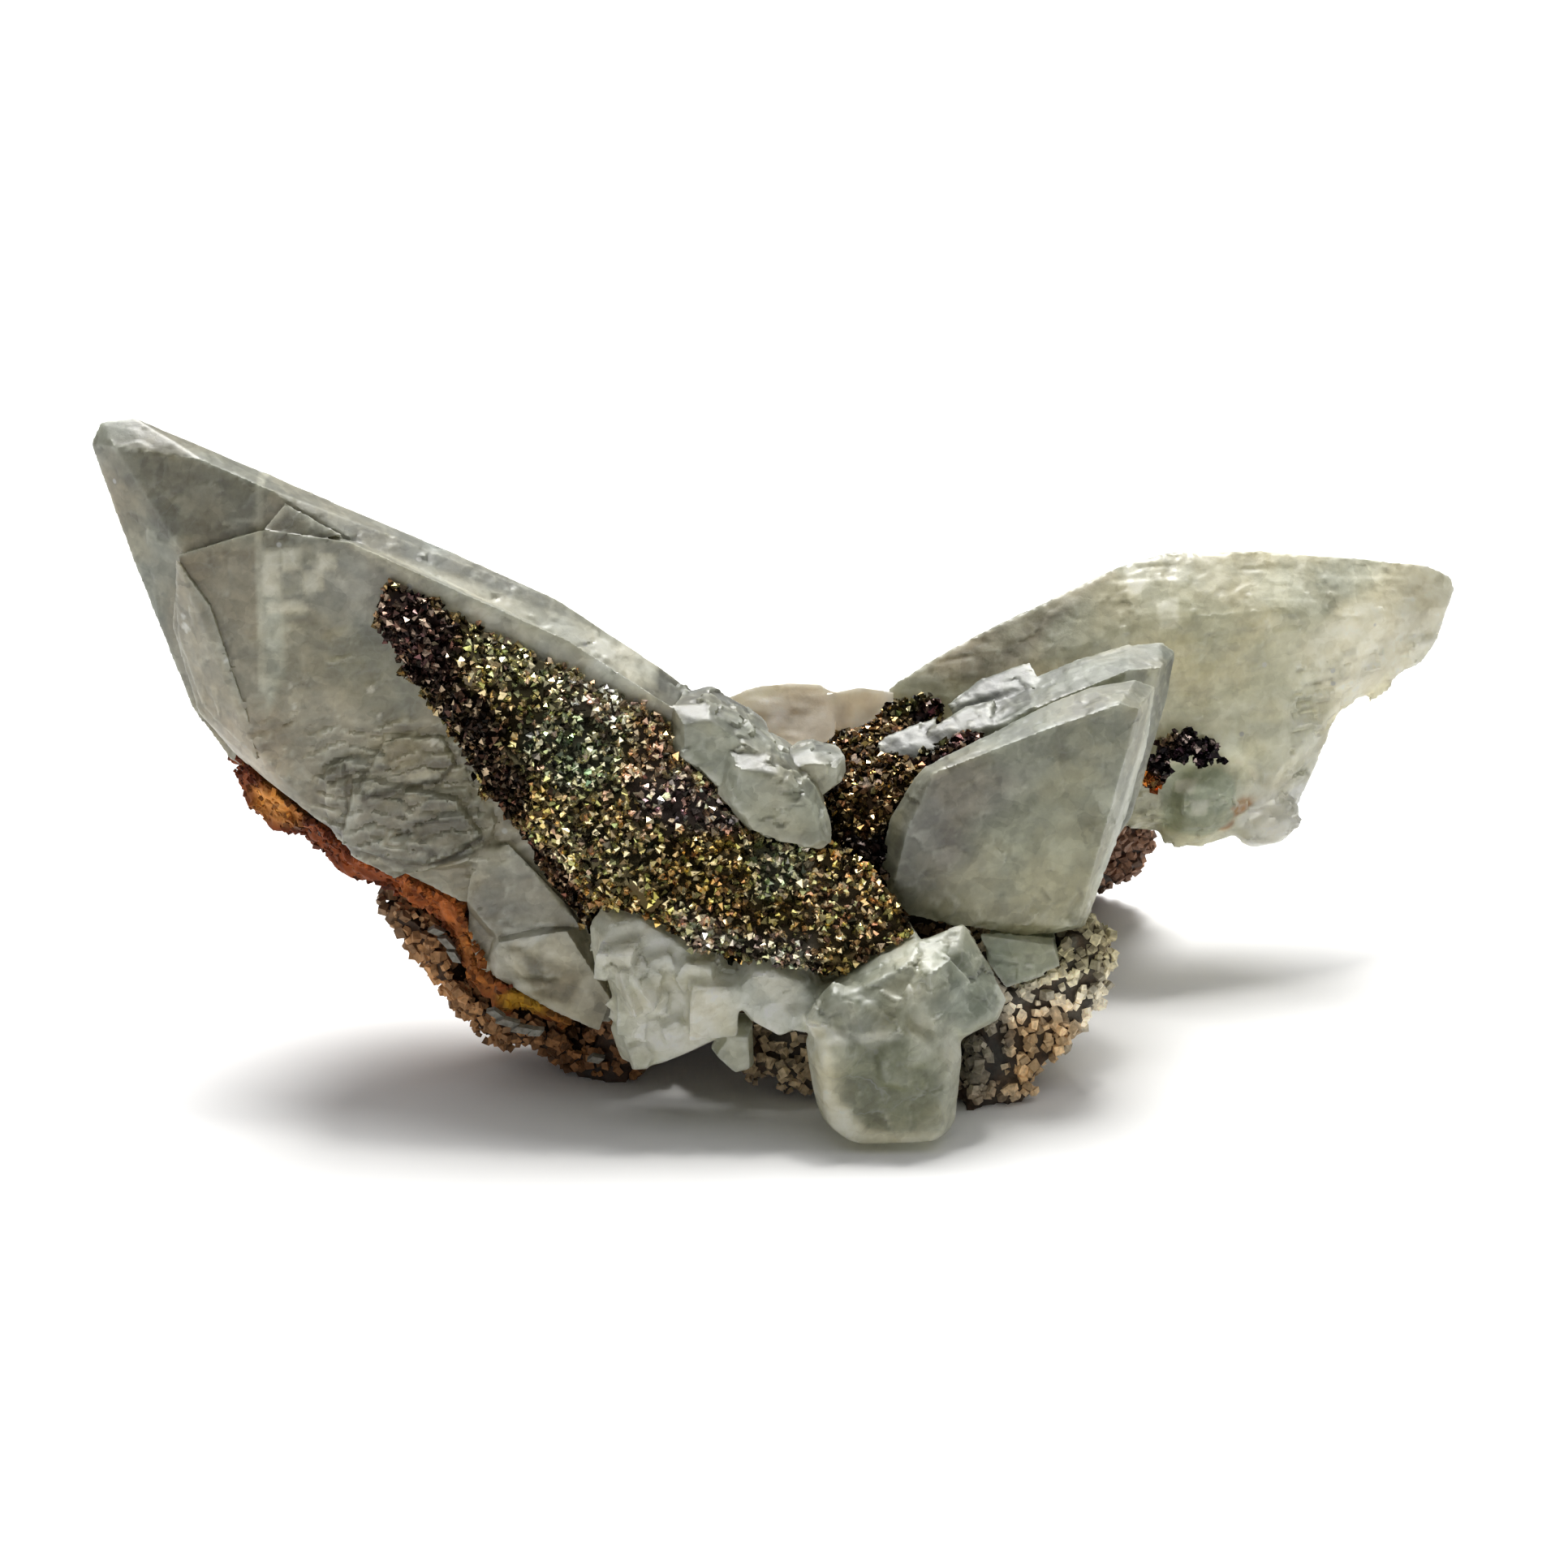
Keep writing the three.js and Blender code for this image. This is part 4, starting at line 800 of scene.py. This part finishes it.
cream_calcite = calcite("cream calcite", 0.55, 90.0, "#cfcab0",
                        {"Lightness": 2.8, "Clouding": 1.3, "Tiling": 0.8, "Cracks": 0.1, "Satin": 0.36})
RIGHT_WASHES = [
    ((12.6, 7.9, 20.0), (5, 5, 2.4), "#8b7f74", 0.9),
    ((17.0, 9.0, 21.6), (4.5, 5, 2.4), "#808178", 0.9),
    ((22.5, 11.9, 24.0), (5, 5, 1.6), "#a3a192", 0.8),
    ((25.4, 9.3, 19.0), (5, 5, 3.6), "#928f79", 1.0),
    ((34.0, 11.8, 17.8), (4.4, 5, 3.6), "#d6cfb4", 1.0),
    ((32.6, 13.1, 22.7), (2.4, 5, 1.6), "#8f928a", 0.9),
    ((38.3, 15.0, 20.0), (3.0, 5, 3.2), "#d6d2bd", 0.9),
    ((28.5, 9.2, 13.6), (4.0, 5, 3.4), "#c6c4aa", 1.0),
    ((29.2, 8.4, 8.6), (2.6, 4, 2.0), "#f4f2e0", 1.0),
    ((24.0, 6.5, 10.4), (2.3, 3, 2.8), "#8d9182", 0.9),
    ((27.1, 8.0, 9.9), (1.1, 3, 0.5), "#8e5526", 0.9),
    ((26.2, 8.0, 9.0), (0.6, 3, 0.4), "#7e4720", 0.9),
]
RIGHT_PANELS = [
    ([(9.5, 18.8), (15.5, 22.4), (16.8, 22.5), (11.5, 18.6)], "#5e5854", 0.9, 0.6),
    ([(14.0, 22.8), (18.5, 24.4), (19.5, 24.1), (15.3, 22.0)], "#bdb6aa", 0.8, 0.3),
    ([(19.8, 24.5), (21.3, 24.7), (21.3, 23.3), (20.0, 22.9)], "#f6f3e0", 0.9, 0.2),
    ([(21.6, 22.8), (22.9, 22.8), (22.9, 21.3), (21.8, 21.3)], "#f3f0dc", 0.8, 0.2),
    ([(31.0, 19.8), (33.2, 21.5), (38.5, 22.2), (40.6, 21.9), (39.8, 18.6), (36.5, 16.0), (33.0, 14.6)],
     "#f4ecd2", 0.85, 0.6),
    ([(31.2, 23.8), (34.2, 23.8), (33.8, 21.9), (31.6, 21.8)], "#84877f", 0.8, 0.5),
    ([(22.0, 12.6), (24.0, 13.4), (26.5, 12.0), (26.8, 9.8), (24.8, 8.2), (22.2, 8.6)], "#7b8776", 0.9, 0.3),
    # two painted glints on the clear lump
    ([(23.0, 12.0), (24.2, 12.1), (24.0, 11.3), (23.1, 11.2)], "#f4f6ea", 0.9, 0.2),
    ([(23.9, 10.6), (24.9, 10.7), (24.8, 9.9), (24.0, 9.9)], "#e8ece0", 0.9, 0.2),
    ([(26.9, 9.2), (28.5, 10.4), (31.6, 10.4), (32.5, 8.8), (30.8, 7.0), (28.0, 7.0)], "#ffffff", 1.0, 0.4),
    ([(26.3, 10.2), (27.6, 10.5), (27.9, 9.9), (26.6, 9.6)], "#8a4f22", 0.9, 0.2),
]


def right_plates(points, facing):
    """The right crystal's relief: broad plates, a broken edge and the blocky lobes that hang from it."""
    along = np.array([1.0, 0.1, 0.1])
    rng = np.random.default_rng(22)
    height = growth_plates(points, facing, along, (0.6, 2.6), 0.04, 110, rng)
    broken = (points[:, 0] > 30) & (points[:, 2] < 19)
    height += growth_plates(points, facing, along, (0.3, 0.9), 0.14, 130, rng, broken)
    hanging = falling(points[:, 2], 13, 2)
    slope, kind = cleaved(points, 1.3, 62)
    height += (0.04 + 0.06 * hanging) * slope + (0.02 + 0.04 * hanging) * (kind - 0.5)
    return height + 0.04 * ragged(points, 1.2, 32)


def lobes_softened(points):
    """A little on the lobes that hang from the lower edge."""
    return 0.35 * falling(points[:, 2], 13.5, 1.5)


RIGHT_SKIN = 0.19
lobes = fused(*solid("right_calcite_crystal"), RIGHT_SKIN)
points, quads, facing, relief = crystal_skin(*lobes, right_plates, lobes_softened)
colours = panelled(washed(points, "#a7a592", RIGHT_WASHES, 43), points, RIGHT_PANELS, 0.3, reach=30)
colours = worn_and_lit_edges(colours, relief, 0.35)
colours = mottled(mottled(colours, points, 1.5, 0.45, 62), points, 0.7, 0.25, 69)
right_crystal = piece("right_crystal", cream_calcite, [(points, quads, colours, True)])
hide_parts("right_calcite_crystal")
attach(right_crystal, "root")

# ---------------------------------------------------------------- peach calcite crystals
# Small blunt crystals that close the valley at the back, tinted peach by iron in the calcite.

peach_calcite = calcite("peach calcite", 0.5, 110.0, "#d8bfa2",
                        {"Lightness": 2.9, "Clouding": 0.9, "Tiling": 0.3, "Cracks": 0.2, "Satin": 0.32})
PEACH_WASHES = [
    ((-1.5, 5.5, 16.8), (3.5, 4, 2.0), "#fff0d8", 1.0),
    ((3.5, 6.0, 17.8), (3.0, 4, 1.6), "#f8ead4", 0.8),
    ((0.0, 12.0, 12.0), (9, 6, 5), "#b59c84", 0.8),
]


def peach_plates(points, facing):
    """The peach crystals' relief: plates that stand upright."""
    rng = np.random.default_rng(23)
    height = growth_plates(points, facing, np.array([0.4, 0.3, 1.0]), (0.5, 1.8), 0.06, 90, rng)
    return height + 0.04 * ragged(points, 1.2, 33)


points, quads, facing, relief = crystal_skin(*faceted("peach_calcite_crystal", 6, 0.99), peach_plates)
colours = worn_and_lit_edges(washed(points, "#dcc6aa", PEACH_WASHES, 44), relief, 0.25)
colours = mottled(colours, points, 1.2, 0.3, 63)
peach_crystal = piece("peach_crystals", peach_calcite, [(points, quads, colours, True)])
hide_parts("peach_calcite_crystal")
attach(peach_crystal, "root")

# ---------------------------------------------------------------- leaf calcite pair
# Two flat blades side by side on one root, smooth and cloudy, with bright bevelled upper edges and a
# low crest of small crystals that runs on from the rear blade.

LEAF_WASHES = [
    ((7.6, -11.6, 15.0), (2.6, 4, 4.0), "#6e6b6d", 0.9),
    ((10.0, -10.9, 18.0), (3.0, 3, 1.8), "#817f7e", 0.8),
    ((6.5, -11.0, 12.4), (1.6, 4, 2.6), "#77756c", 0.8),
    ((17.5, -9.5, 19.8), (3.6, 4, 1.8), "#7d7e6e", 0.8),
    ((14.6, -10.3, 16.0), (3.4, 4, 3.0), "#a5a78f", 0.9),
    ((12.8, -10.9, 11.4), (4.4, 4, 2.2), "#acac95", 0.9),
    ((20.5, -3.0, 20.4), (1.6, 3, 1.6), "#74756a", 0.9),
    ((8.5, -3.0, 19.4), (5, 4, 1.8), "#54574e", 1.0),
]
SHADED_BEVEL = [  # painted shade: the darker band along the front blade's right edge
    [(22.8, 22.5), (20.8, 22.5), (19.9, 18.5), (23.0, 18.5)],
    [(23.0, 18.6), (19.9, 18.6), (18.2, 13.5), (22.0, 13.5)],
    [(22.0, 13.6), (18.2, 13.6), (16.6, 9.4), (19.0, 9.4)],
]
LIT_RIM = [  # painted light: the pale line between that band and the face
    [(20.9, 22.4), (20.3, 22.4), (19.4, 18.5), (20.0, 18.5)],
    [(20.0, 18.6), (19.4, 18.6), (17.7, 13.5), (18.3, 13.5)],
    [(18.3, 13.6), (17.7, 13.6), (16.1, 9.4), (16.7, 9.4)],
]
LEAF_PANELS = [(band, "#565a4e", 0.95, 0.2) for band in SHADED_BEVEL] + [(line, "#e4e9d6", 0.9, 0.2) for line in LIT_RIM]


def on_crest(points):
    """Where the points lie on the low crest behind the blades."""
    return (points[:, 2] > 17.5) & (points[:, 0] < 13.5) & (points[:, 1] > -6.5)


def leaf_plates(points, facing):
    """The blades' relief: faint plates, small crystals on the crest and a rough foot."""
    along = np.array([0.6, 0.1, 1.0])
    rng = np.random.default_rng(24)
    height = growth_plates(points, facing, along, (0.6, 2.4), 0.025, 70, rng)
    height += growth_plates(points, facing, along, (0.3, 0.8), 0.04, 60, rng, on_crest(points))
    foot = points[:, 2] < 11.5
    height += growth_plates(points, facing, along, (0.4, 1.2), 0.1, 40, rng, foot)
    slope, kind = cleaved(points, 1.2, 64)
    return height + 0.04 * slope + 0.02 * (kind - 0.5) + 0.02 * ragged(points, 1.6, 34)


def crest_worn(points):
    """A little on the crest, whose small crystals are partly dissolved."""
    return 0.25 * on_crest(points)


points, quads, facing, relief = crystal_skin(*faceted("leaf_calcite_pair", 7, 0.8), leaf_plates, crest_worn)
colours = panelled(washed(points, "#8e9082", LEAF_WASHES, 45), points, LEAF_PANELS)
# Painted shade on the faces that look up, and darker painted shade on those of the crest and the rear blade's
# left half.
colours = painted_top_light(colours, facing, "#747873", 0.8)
behind = (points[:, 0] < 13.5) & (points[:, 1] > -6.5)  # the crest, and the rear blade's left half
colours = painted_top_light(colours, facing, "#343632", 0.8 * behind)
colours = mottled(worn_and_lit_edges(colours, relief, 0.4), points, 1.2, 0.45, 64)
colours = mottled(colours, points, 2.4, 0.35, 68)
leaf_crystals = piece("leaf_crystals", grey_calcite, [(points, quads, colours, True)])
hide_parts("leaf_calcite_pair")
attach(leaf_crystals, "root")

# ---------------------------------------------------------------- front calcite cluster
# The foot of the specimen: a knobbly cluster of clear to creamy cleavage blocks grown into each
# other, from the left lobe to the big right lobe that stands on the floor.

clear_calcite = calcite("clear calcite", 0.45, 50.0, "#c8cbb6",
                        {"Lightness": 2.8, "Cloud size": 650.0, "Clouding": 1.3, "Tiling": 0.8,
                         "Cracks": 0.3, "Satin": 0.42})
FRONT_WASHES = [
    ((-8.9, -16.0, 11.0), (2.6, 4, 2.0), "#dfe4db", 0.9),
    ((-6.6, -16.9, 7.0), (3.2, 4, 3.0), "#f0ecca", 1.0),
    ((-1.6, -17.5, 8.6), (2.8, 4, 2.6), "#e0e5da", 0.95),
    ((3.0, -18.4, 8.6), (3.0, 4, 2.2), "#73776d", 0.9),
    ((9.4, -17.1, 9.0), (2.4, 4, 2.8), "#6d746b", 1.0),
    ((5.2, -20.8, 3.6), (2.8, 4, 2.4), "#585b47", 0.95),
    # the bottom rim: partly the calcite's own cream, partly painted glow where light comes through the thin
    # edge
    ((4.0, -20.8, 0.6), (4.0, 4, 0.9), "#c6c3a8", 0.9),
    ((1.6, -19.0, 3.4), (1.0, 4, 3.0), "#b9b89f", 0.8),
]
FRONT_PANELS = [
    # cream rims of the foot: partly the calcite's own cream, partly painted glow where light comes through
    # the thin edges
    ([(0.3, 7.2), (1.5, 7.0), (2.0, 3.0), (0.7, 2.4)], "#efe8c6", 0.9, 0.4),
    ([(0.7, 2.9), (2.0, 3.1), (3.8, 1.2), (3.4, 0), (2.4, 0)], "#f2ebca", 0.9, 0.4),
    ([(3.2, 1.3), (8.0, 1.1), (8.0, 0), (3.0, 0)], "#f2ebca", 0.9, 0.4),
    ([(1.4, 7.1), (3.5, 6.7), (3.5, 6.2), (1.5, 6.5)], "#d8dacb", 0.8, 0.2),
    ([(3.4, 6.8), (5.5, 7.3), (5.5, 6.7), (3.4, 6.2)], "#d8dacb", 0.8, 0.2),
    ([(4.6, 8.6), (6.6, 8.2), (6.2, 4.2), (5.0, 4.4)], "#5a5e50", 0.7, 1.0),
    ([(2.1, 6.0), (7.6, 5.7), (7.8, 2.2), (3.9, 1.9), (2.3, 3.6)], "#565843", 0.85, 1.2),
    ([(-9.6, 8.7), (-4.6, 8.8), (-5.0, 4.6), (-9.4, 4.9)], "#fffbe4", 1.0, 0.8),
    ([(-11.0, 11.6), (-9.0, 12.2), (-6.4, 10.4), (-6.6, 9.2), (-10.6, 9.0)], "#f0f4e8", 0.9, 0.6),
]


def front_plates(points, facing):
    """The cluster's relief: small plates and blocks, fading out on the smooth foot."""
    rng = np.random.default_rng(25)
    height = growth_plates(points, facing, np.array([0.8, 0.0, 0.5]), (0.3, 1.0), 0.05, 160, rng)
    slope, kind = cleaved(points, 1.5, 65)
    height += 0.08 * slope + 0.03 * (kind - 0.5) + 0.02 * ragged(points, 1.0, 35)
    return height * (0.3 + 0.7 * rising(points[:, 2], 6.5, 2))


def foot_worn(points):
    """1 on the front of the big right lobe, which is rounded and smooth."""
    return falling(points[:, 2], 9.5, 1.5) * (points[:, 0] > 1) * (points[:, 1] < -17)


FRONT_BLOCKS = 0.14  # cleavage blocks to the square millimetre
FRONT_BLOCK = (0.7, 1.5)  # half the width of the smallest and largest block
BLOCK_SUNK = 1.05  # how deep a block's middle lies, as a share of its size
FRONT_SKIN = 0.15
rng = np.random.default_rng(5)
corners, triangles = solid("front_calcite_cluster")
places, ways = spread(corners, triangles, FRONT_BLOCKS, rng,
                      lambda p, n: (n[:, 1] < -0.2) & (p[:, 2] > 5.8 + 5 * (p[:, 0] > 0)) & (p[:, 1] < -12))
sizes = rng.uniform(*FRONT_BLOCK, (len(places), 1)) * rng.uniform(0.8, 1.2, (len(places), 3))
blocks = crystals(rhomb, places - ways * BLOCK_SUNK * sizes[:, :1], sizes, rng)
lobes = fused(np.concatenate([corners, blocks[0]]),
              np.concatenate([triangles, blocks[1] + len(corners)]), FRONT_SKIN)
points, quads, facing, relief = crystal_skin(*lobes, front_plates, foot_worn)
colours = panelled(washed(points, "#b3b5a2", FRONT_WASHES, 46, edge=0.8), points, FRONT_PANELS, 0.3)
colours = worn_and_lit_edges(colours, relief, 0.5)
colours = mottled(mottled(colours, points, 1.5, 0.35, 65), points, 0.7, 0.3, 66)
front_cluster = piece("front_cluster", clear_calcite, [(points, quads, colours, True)])
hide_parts("front_calcite_cluster")
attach(front_cluster, "root")

# ---------------------------------------------------------------- calcite block
# One clear cleavage block caught between the leaf pair and the rock.


def block_plates(points, facing):
    """The block's relief: a few cleavage steps."""
    return growth_plates(points, facing, np.array([1.0, 0.2, -0.2]), (0.3, 1.2), 0.08, 30,
                         np.random.default_rng(26))


points, quads, facing, relief = crystal_skin(*faceted("calcite_block", 5, 0.99), block_plates)
colours = worn_and_lit_edges(washed(points, "#848d7c", [], 47), relief, 0.4)
block = piece("cleavage_block", clear_calcite, [(points, quads, colours, True)])
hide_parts("calcite_block")
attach(block, "root")

# ---------------------------------------------------------------- chalcopyrite
# Druse: thousands of pinhead chalcopyrite crystals, brassy metal under an iridescent tarnish that
# runs from purple-brown through green to gold. It coats the blade, the valley and one dark patch.

# Peacock tarnish: each crystal's own tint, with flecks of other colours and a varying polish.
peacock, given, out = effect(
    "peacock tarnish",
    [("Tint", COLOUR, None), ("Place", VECTOR, None), ("Fleck", COLOUR, None), ("Fleck amount", FLOAT, 0.3),
     ("Polish", FLOAT, 0.25)],
    FINISH,
)
film = noise(peacock, given["Place"], 1400.0, 3.0, 0.6)["Fac"]
share = ranged(peacock, film, 0.5, 0.7, 0.0, given["Fleck amount"])
flecked = over(peacock, share, given["Tint"], given["Fleck"])
scuffs = noise(peacock, given["Place"], 5200.0, 2.0)["Fac"]
polish = worked(peacock, "SUBTRACT", worked(peacock, "MULTIPLY_ADD", scuffs, 0.35, given["Polish"]), 0.17)
put_out(peacock, out, Colour=flecked, Roughness=polish, Height=scuffs)


def druse_metal(name, tarnish):
    """Chalcopyrite metal with its tarnish."""
    made, tree, shader, place, tint = material(name)
    film = use(tree, peacock, {"Tint": tint, "Place": place, **tarnish})
    dressed(tree, shader, film, 0.25, 0.00004, {"Metallic": 0.9})
    return made


# A chalcopyrite crystal is a blunt wedge with four sides.
wedge = hull([(1, 0.1, 0.4), (-1, -0.1, 0.4), (0.1, 1, -0.4), (-0.1, -1, -0.4), (0.2, 0, 0.9),
              (0, 0.2, -0.9)])
DRUSE_SKIN = 0.22
DRUSE_GRAINS = 13.0  # crystals to the square millimetre
DRUSE_GRAIN = (0.17, 0.3)  # half the width of the smallest and largest crystal
GLITTER = 0.15  # share of crystals that are fresh and bright
FRESH_METAL = (1.5, 1.4, 1.15)  # their brassy colour
STRAY = 1.0  # how far the edges of a tarnish colour wander


def tarnished(points, ground, panels):
    """A tarnish colour for each point: the ground colour, with the panels over it."""
    return panelled(np.tile(tone(ground), (len(points), 1)), points, panels, STRAY)


def druse(name, node, metal, ground, panels, seed, wanted):
    """A druse-coated body: a rough skin painted dark, partly its darker tarnish and partly painted shade in
    the gaps, with bright little crystals half sunk in it.
    """
    rng = np.random.default_rng(seed)
    corners, triangles = solid(node)
    points, quads = fused(corners, triangles, DRUSE_SKIN)
    facing = outward(points, quads)
    points += facing * (0.1 * ragged(points, 0.9, seed) - 0.06)[:, None]
    # Painted shade in the gaps between the crystals: the skin takes only a small share of the tarnish colour.
    skin_and_gap_shade = 0.15 * tarnished(points, ground, panels)
    places, ways = spread(corners, triangles, DRUSE_GRAINS, rng, wanted)
    sizes = rng.uniform(*DRUSE_GRAIN, (len(places), 1)) * rng.uniform(0.8, 1.2, (len(places), 3))
    sunk = places + ways * rng.uniform(-0.12, 0.1, (len(places), 1))
    grown, grown_faces = crystals(wedge, sunk, sizes, rng)
    own = rng.uniform(0.2, 1.55, len(places)) ** 2.2
    tarnish = tarnished(places, ground, panels)
    tint = tarnish * own[:, None] * rng.uniform(0.8, 1.2, (len(places), 3))
    glitter = (rng.random(len(places)) < GLITTER)[:, None]
    fresh = tarnish**0.4 * FRESH_METAL * rng.uniform(0.5, 1.0, (len(places), 1))
    tint = np.where(glitter, fresh, tint)
    tint = np.repeat(np.clip(tint, 0, 0.95), len(wedge[0]), axis=0)
    return piece(name, metal, [(points, quads, skin_and_gap_shade, True), (grown, grown_faces, tint, False)])


brassy = druse_metal("tarnished chalcopyrite",
                     {"Fleck": (*tone("#3c241c"), 1), "Fleck amount": 0.35, "Polish": 0.24})
BLADE_PANELS = [  # the colours of the tarnish
    ([(-24.5, 26.5), (-23.7, 29.5), (-22.5, 30.0), (-19.4, 27.8), (-18.6, 25.1), (-20.1, 24.2),
      (-21.7, 23.2)], "#3d292b", 0.95, 1.2),
    ([(-22.0, 24.7), (-19.4, 25.8), (-17.4, 23.4), (-15.3, 20.1), (-15.2, 16.5), (-17.7, 16.5),
      (-20.6, 22.2)], "#2e1f1a", 0.95, 0.9),
    ([(-18.2, 19.4), (-15.2, 17.6), (-13.5, 15.0), (-10.7, 13.3), (-11.4, 10.2), (-13.6, 9.7), (-16.5, 14.8)],
     "#40291e", 0.95, 1.2),
    ([(-18.8, 27.6), (-15.8, 26.5), (-12.1, 25.0), (-13.5, 23.6), (-16.6, 24.2), (-18.4, 25.4)],
     "#b5ac82", 0.9, 0.8),
    ([(-13.5, 25.4), (-11.2, 24.6), (-8.5, 23.4), (-9.4, 21.8), (-13.0, 23.1)], "#f4deb8", 0.9, 0.8),
    ([(-15.9, 23.0), (-13.0, 23.3), (-10.0, 21.7), (-10.0, 18.8), (-13.4, 18.6), (-15.5, 21.0)],
     "#a6b094", 0.75, 1.5),
    ([(-9.1, 23.4), (-6.9, 21.6), (-7.0, 19.2), (-9.1, 19.3), (-9.8, 21.7)], "#b39a80", 0.8, 0.8),
    ([(-9.6, 19.3), (-6.0, 19.8), (-2.0, 17.6), (-4.8, 16.8), (-8.4, 17.3)], "#b39f98", 0.9, 0.8),
    ([(-13.4, 18.0), (-8.4, 17.1), (-7.9, 14.8), (-12.6, 14.1), (-14.9, 15.7)], "#b0a780", 0.7, 1.5),
    ([(-2.7, 16.2), (0.9, 16.5), (0.5, 13.6), (-2.5, 13.8)], "#c0c7a4", 0.8, 1.0),
    ([(0.2, 15.4), (4.4, 13.9), (6.7, 8.8), (4.4, 9.4), (0.5, 11.5)], "#b89f74", 0.9, 1.0),
    ([(-7.3, 13.0), (-3.9, 12.4), (0.7, 11.5), (1.2, 9.0), (-1.1, 9.4), (-6.2, 11.0)], "#cbbfa8", 0.8, 1.0),
]
blade = druse("chalcopyrite_druse", "chalcopyrite_blade", brassy, "#a38c56", BLADE_PANELS, 51,
              lambda p, n: n[:, 1] < 0.4)
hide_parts("chalcopyrite_blade")
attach(blade, "root")

SADDLE_PANELS = [
    ([(2.0, 18.4), (5.8, 19.2), (6.6, 18.3), (5.1, 16.3), (2.1, 16.3)], "#735936", 0.9, 0.8),
    ([(2.4, 15.6), (5.6, 15.6), (5.0, 12.0), (3.0, 12.5)], "#120b09", 1.0, 0.8),
    ([(5.8, 18.3), (8.3, 19.6), (10.6, 20.2), (11.0, 19.4), (6.8, 18.1)], "#2c171a", 0.95, 0.4),
    ([(4.8, 19.2), (7.5, 20.0), (8.4, 19.3), (5.5, 18.7)], "#403e22", 0.9, 0.4),
]
saddle = druse("valley_druse", "chalcopyrite_saddle", brassy, "#4e3c20", SADDLE_PANELS, 52,
               lambda p, n: n[:, 2] > -0.5)
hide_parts("chalcopyrite_saddle")
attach(saddle, "root")

dark_metal = druse_metal("dark chalcopyrite",
                         {"Fleck": (*tone("#1c1012"), 1), "Fleck amount": 0.5, "Polish": 0.22})
PATCH_PANELS = [
    ([(20.8, 15.6), (22.6, 15.6), (22.8, 14.2), (20.8, 14.0)], "#75604f", 0.9, 0.4),
    ([(20.4, 13.2), (22.2, 12.8), (22.2, 10.8), (20.4, 10.8)], "#b06a2c", 1.0, 0.4),
]
patch = druse("dark_patch", "chalcopyrite_patch", dark_metal, "#2c2226", PATCH_PANELS, 53,
              lambda p, n: n[:, 1] < 0.4)
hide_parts("chalcopyrite_patch")
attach(patch, "root")

# ---------------------------------------------------------------- floor and light
# A plain white table top under a large soft lamp overhead, a little behind the specimen. A weaker one
# stands to the right, a low card in front lights the faces that look down, and a small hard lamp makes
# the druse sparkle.

table = bpy.data.meshes.new("table_top")
HALF_TABLE = 3.0
table.from_pydata([(x * HALF_TABLE, y * HALF_TABLE, 0) for x, y in [(-1, -1), (1, -1), (1, 1), (-1, 1)]],
                  [], [(0, 1, 2, 3)])
table_top = bpy.data.objects.new("table_top", table)
bpy.context.scene.collection.objects.link(table_top)
white, tree, shader, place, tint = material("white table")
paper = ranged(tree, noise(tree, place, 60.0, 3.0)["Fac"], 0.0, 1.0, 0.84, 0.88)
tree.links.new(paper, shader.inputs["Base Color"])
shader.inputs["Roughness"].default_value = 0.7
table.materials.append(white)
table_top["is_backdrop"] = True


def lamp(name, strength, width, lean, turn, colour):
    """A lamp so far away that its light is even.

    In degrees: its width, how far it leans from overhead, and how far it is turned round the specimen.
    """
    light = bpy.data.lights.new(name, "SUN")
    light.energy = strength
    light.angle = math.radians(width)
    light.color = colour
    stand = bpy.data.objects.new(name, light)
    stand.rotation_euler = (math.radians(lean), 0, math.radians(turn))
    bpy.context.scene.collection.objects.link(stand)


lamp("overhead_softbox", 4.8, 36, 31, 185, (1.0, 0.995, 0.98))
lamp("side_softbox", 0.1, 50, 60, 100, (1.0, 0.995, 0.98))
lamp("front_card", 0.5, 30, 85, -15, (1.0, 0.99, 0.97))
lamp("sparkle_lamp", 0.6, 6, 20, 160, (1.0, 0.98, 0.93))

# The room: bright overhead and behind the specimen, darker towards the horizon and the viewer.
world = bpy.data.worlds.new("studio")
world.use_nodes = True
room = world.node_tree
way = add(room, "ShaderNodeTexCoord").outputs["Generated"]
BRIGHTEST_WAY = (0.1, 0.45, 0.89)
rise = add(room, "ShaderNodeVectorMath", {0: way, 1: BRIGHTEST_WAY}, operation="DOT_PRODUCT").outputs["Value"]
glow = ranged(room, rise, 0.18, 0.9, 0.02, 0.76)
room.links.new(glow, room.nodes["Background"].inputs["Strength"])
room.nodes["Background"].inputs["Color"].default_value = (0.99, 0.995, 1.0, 1)
bpy.context.scene.world = world
bpy.context.scene.view_settings.view_transform = "Standard"

# ---------------------------------------------------------------- camera
# A long lens looking down on the specimen from the front.

lens = bpy.data.cameras.new("camera")
lens.lens = 110
lens.sensor_width = 36
camera = bpy.data.objects.new("camera", lens)
camera.location = (-0.85 * MM, -266.22 * MM, 111.40 * MM)
camera.rotation_euler = (math.radians(70), 0, 0)
bpy.context.scene.collection.objects.link(camera)
bpy.context.scene.camera = camera

size = {"cad": [list(corner) for corner in cad_box], "visual": [list(corner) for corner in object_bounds()]}
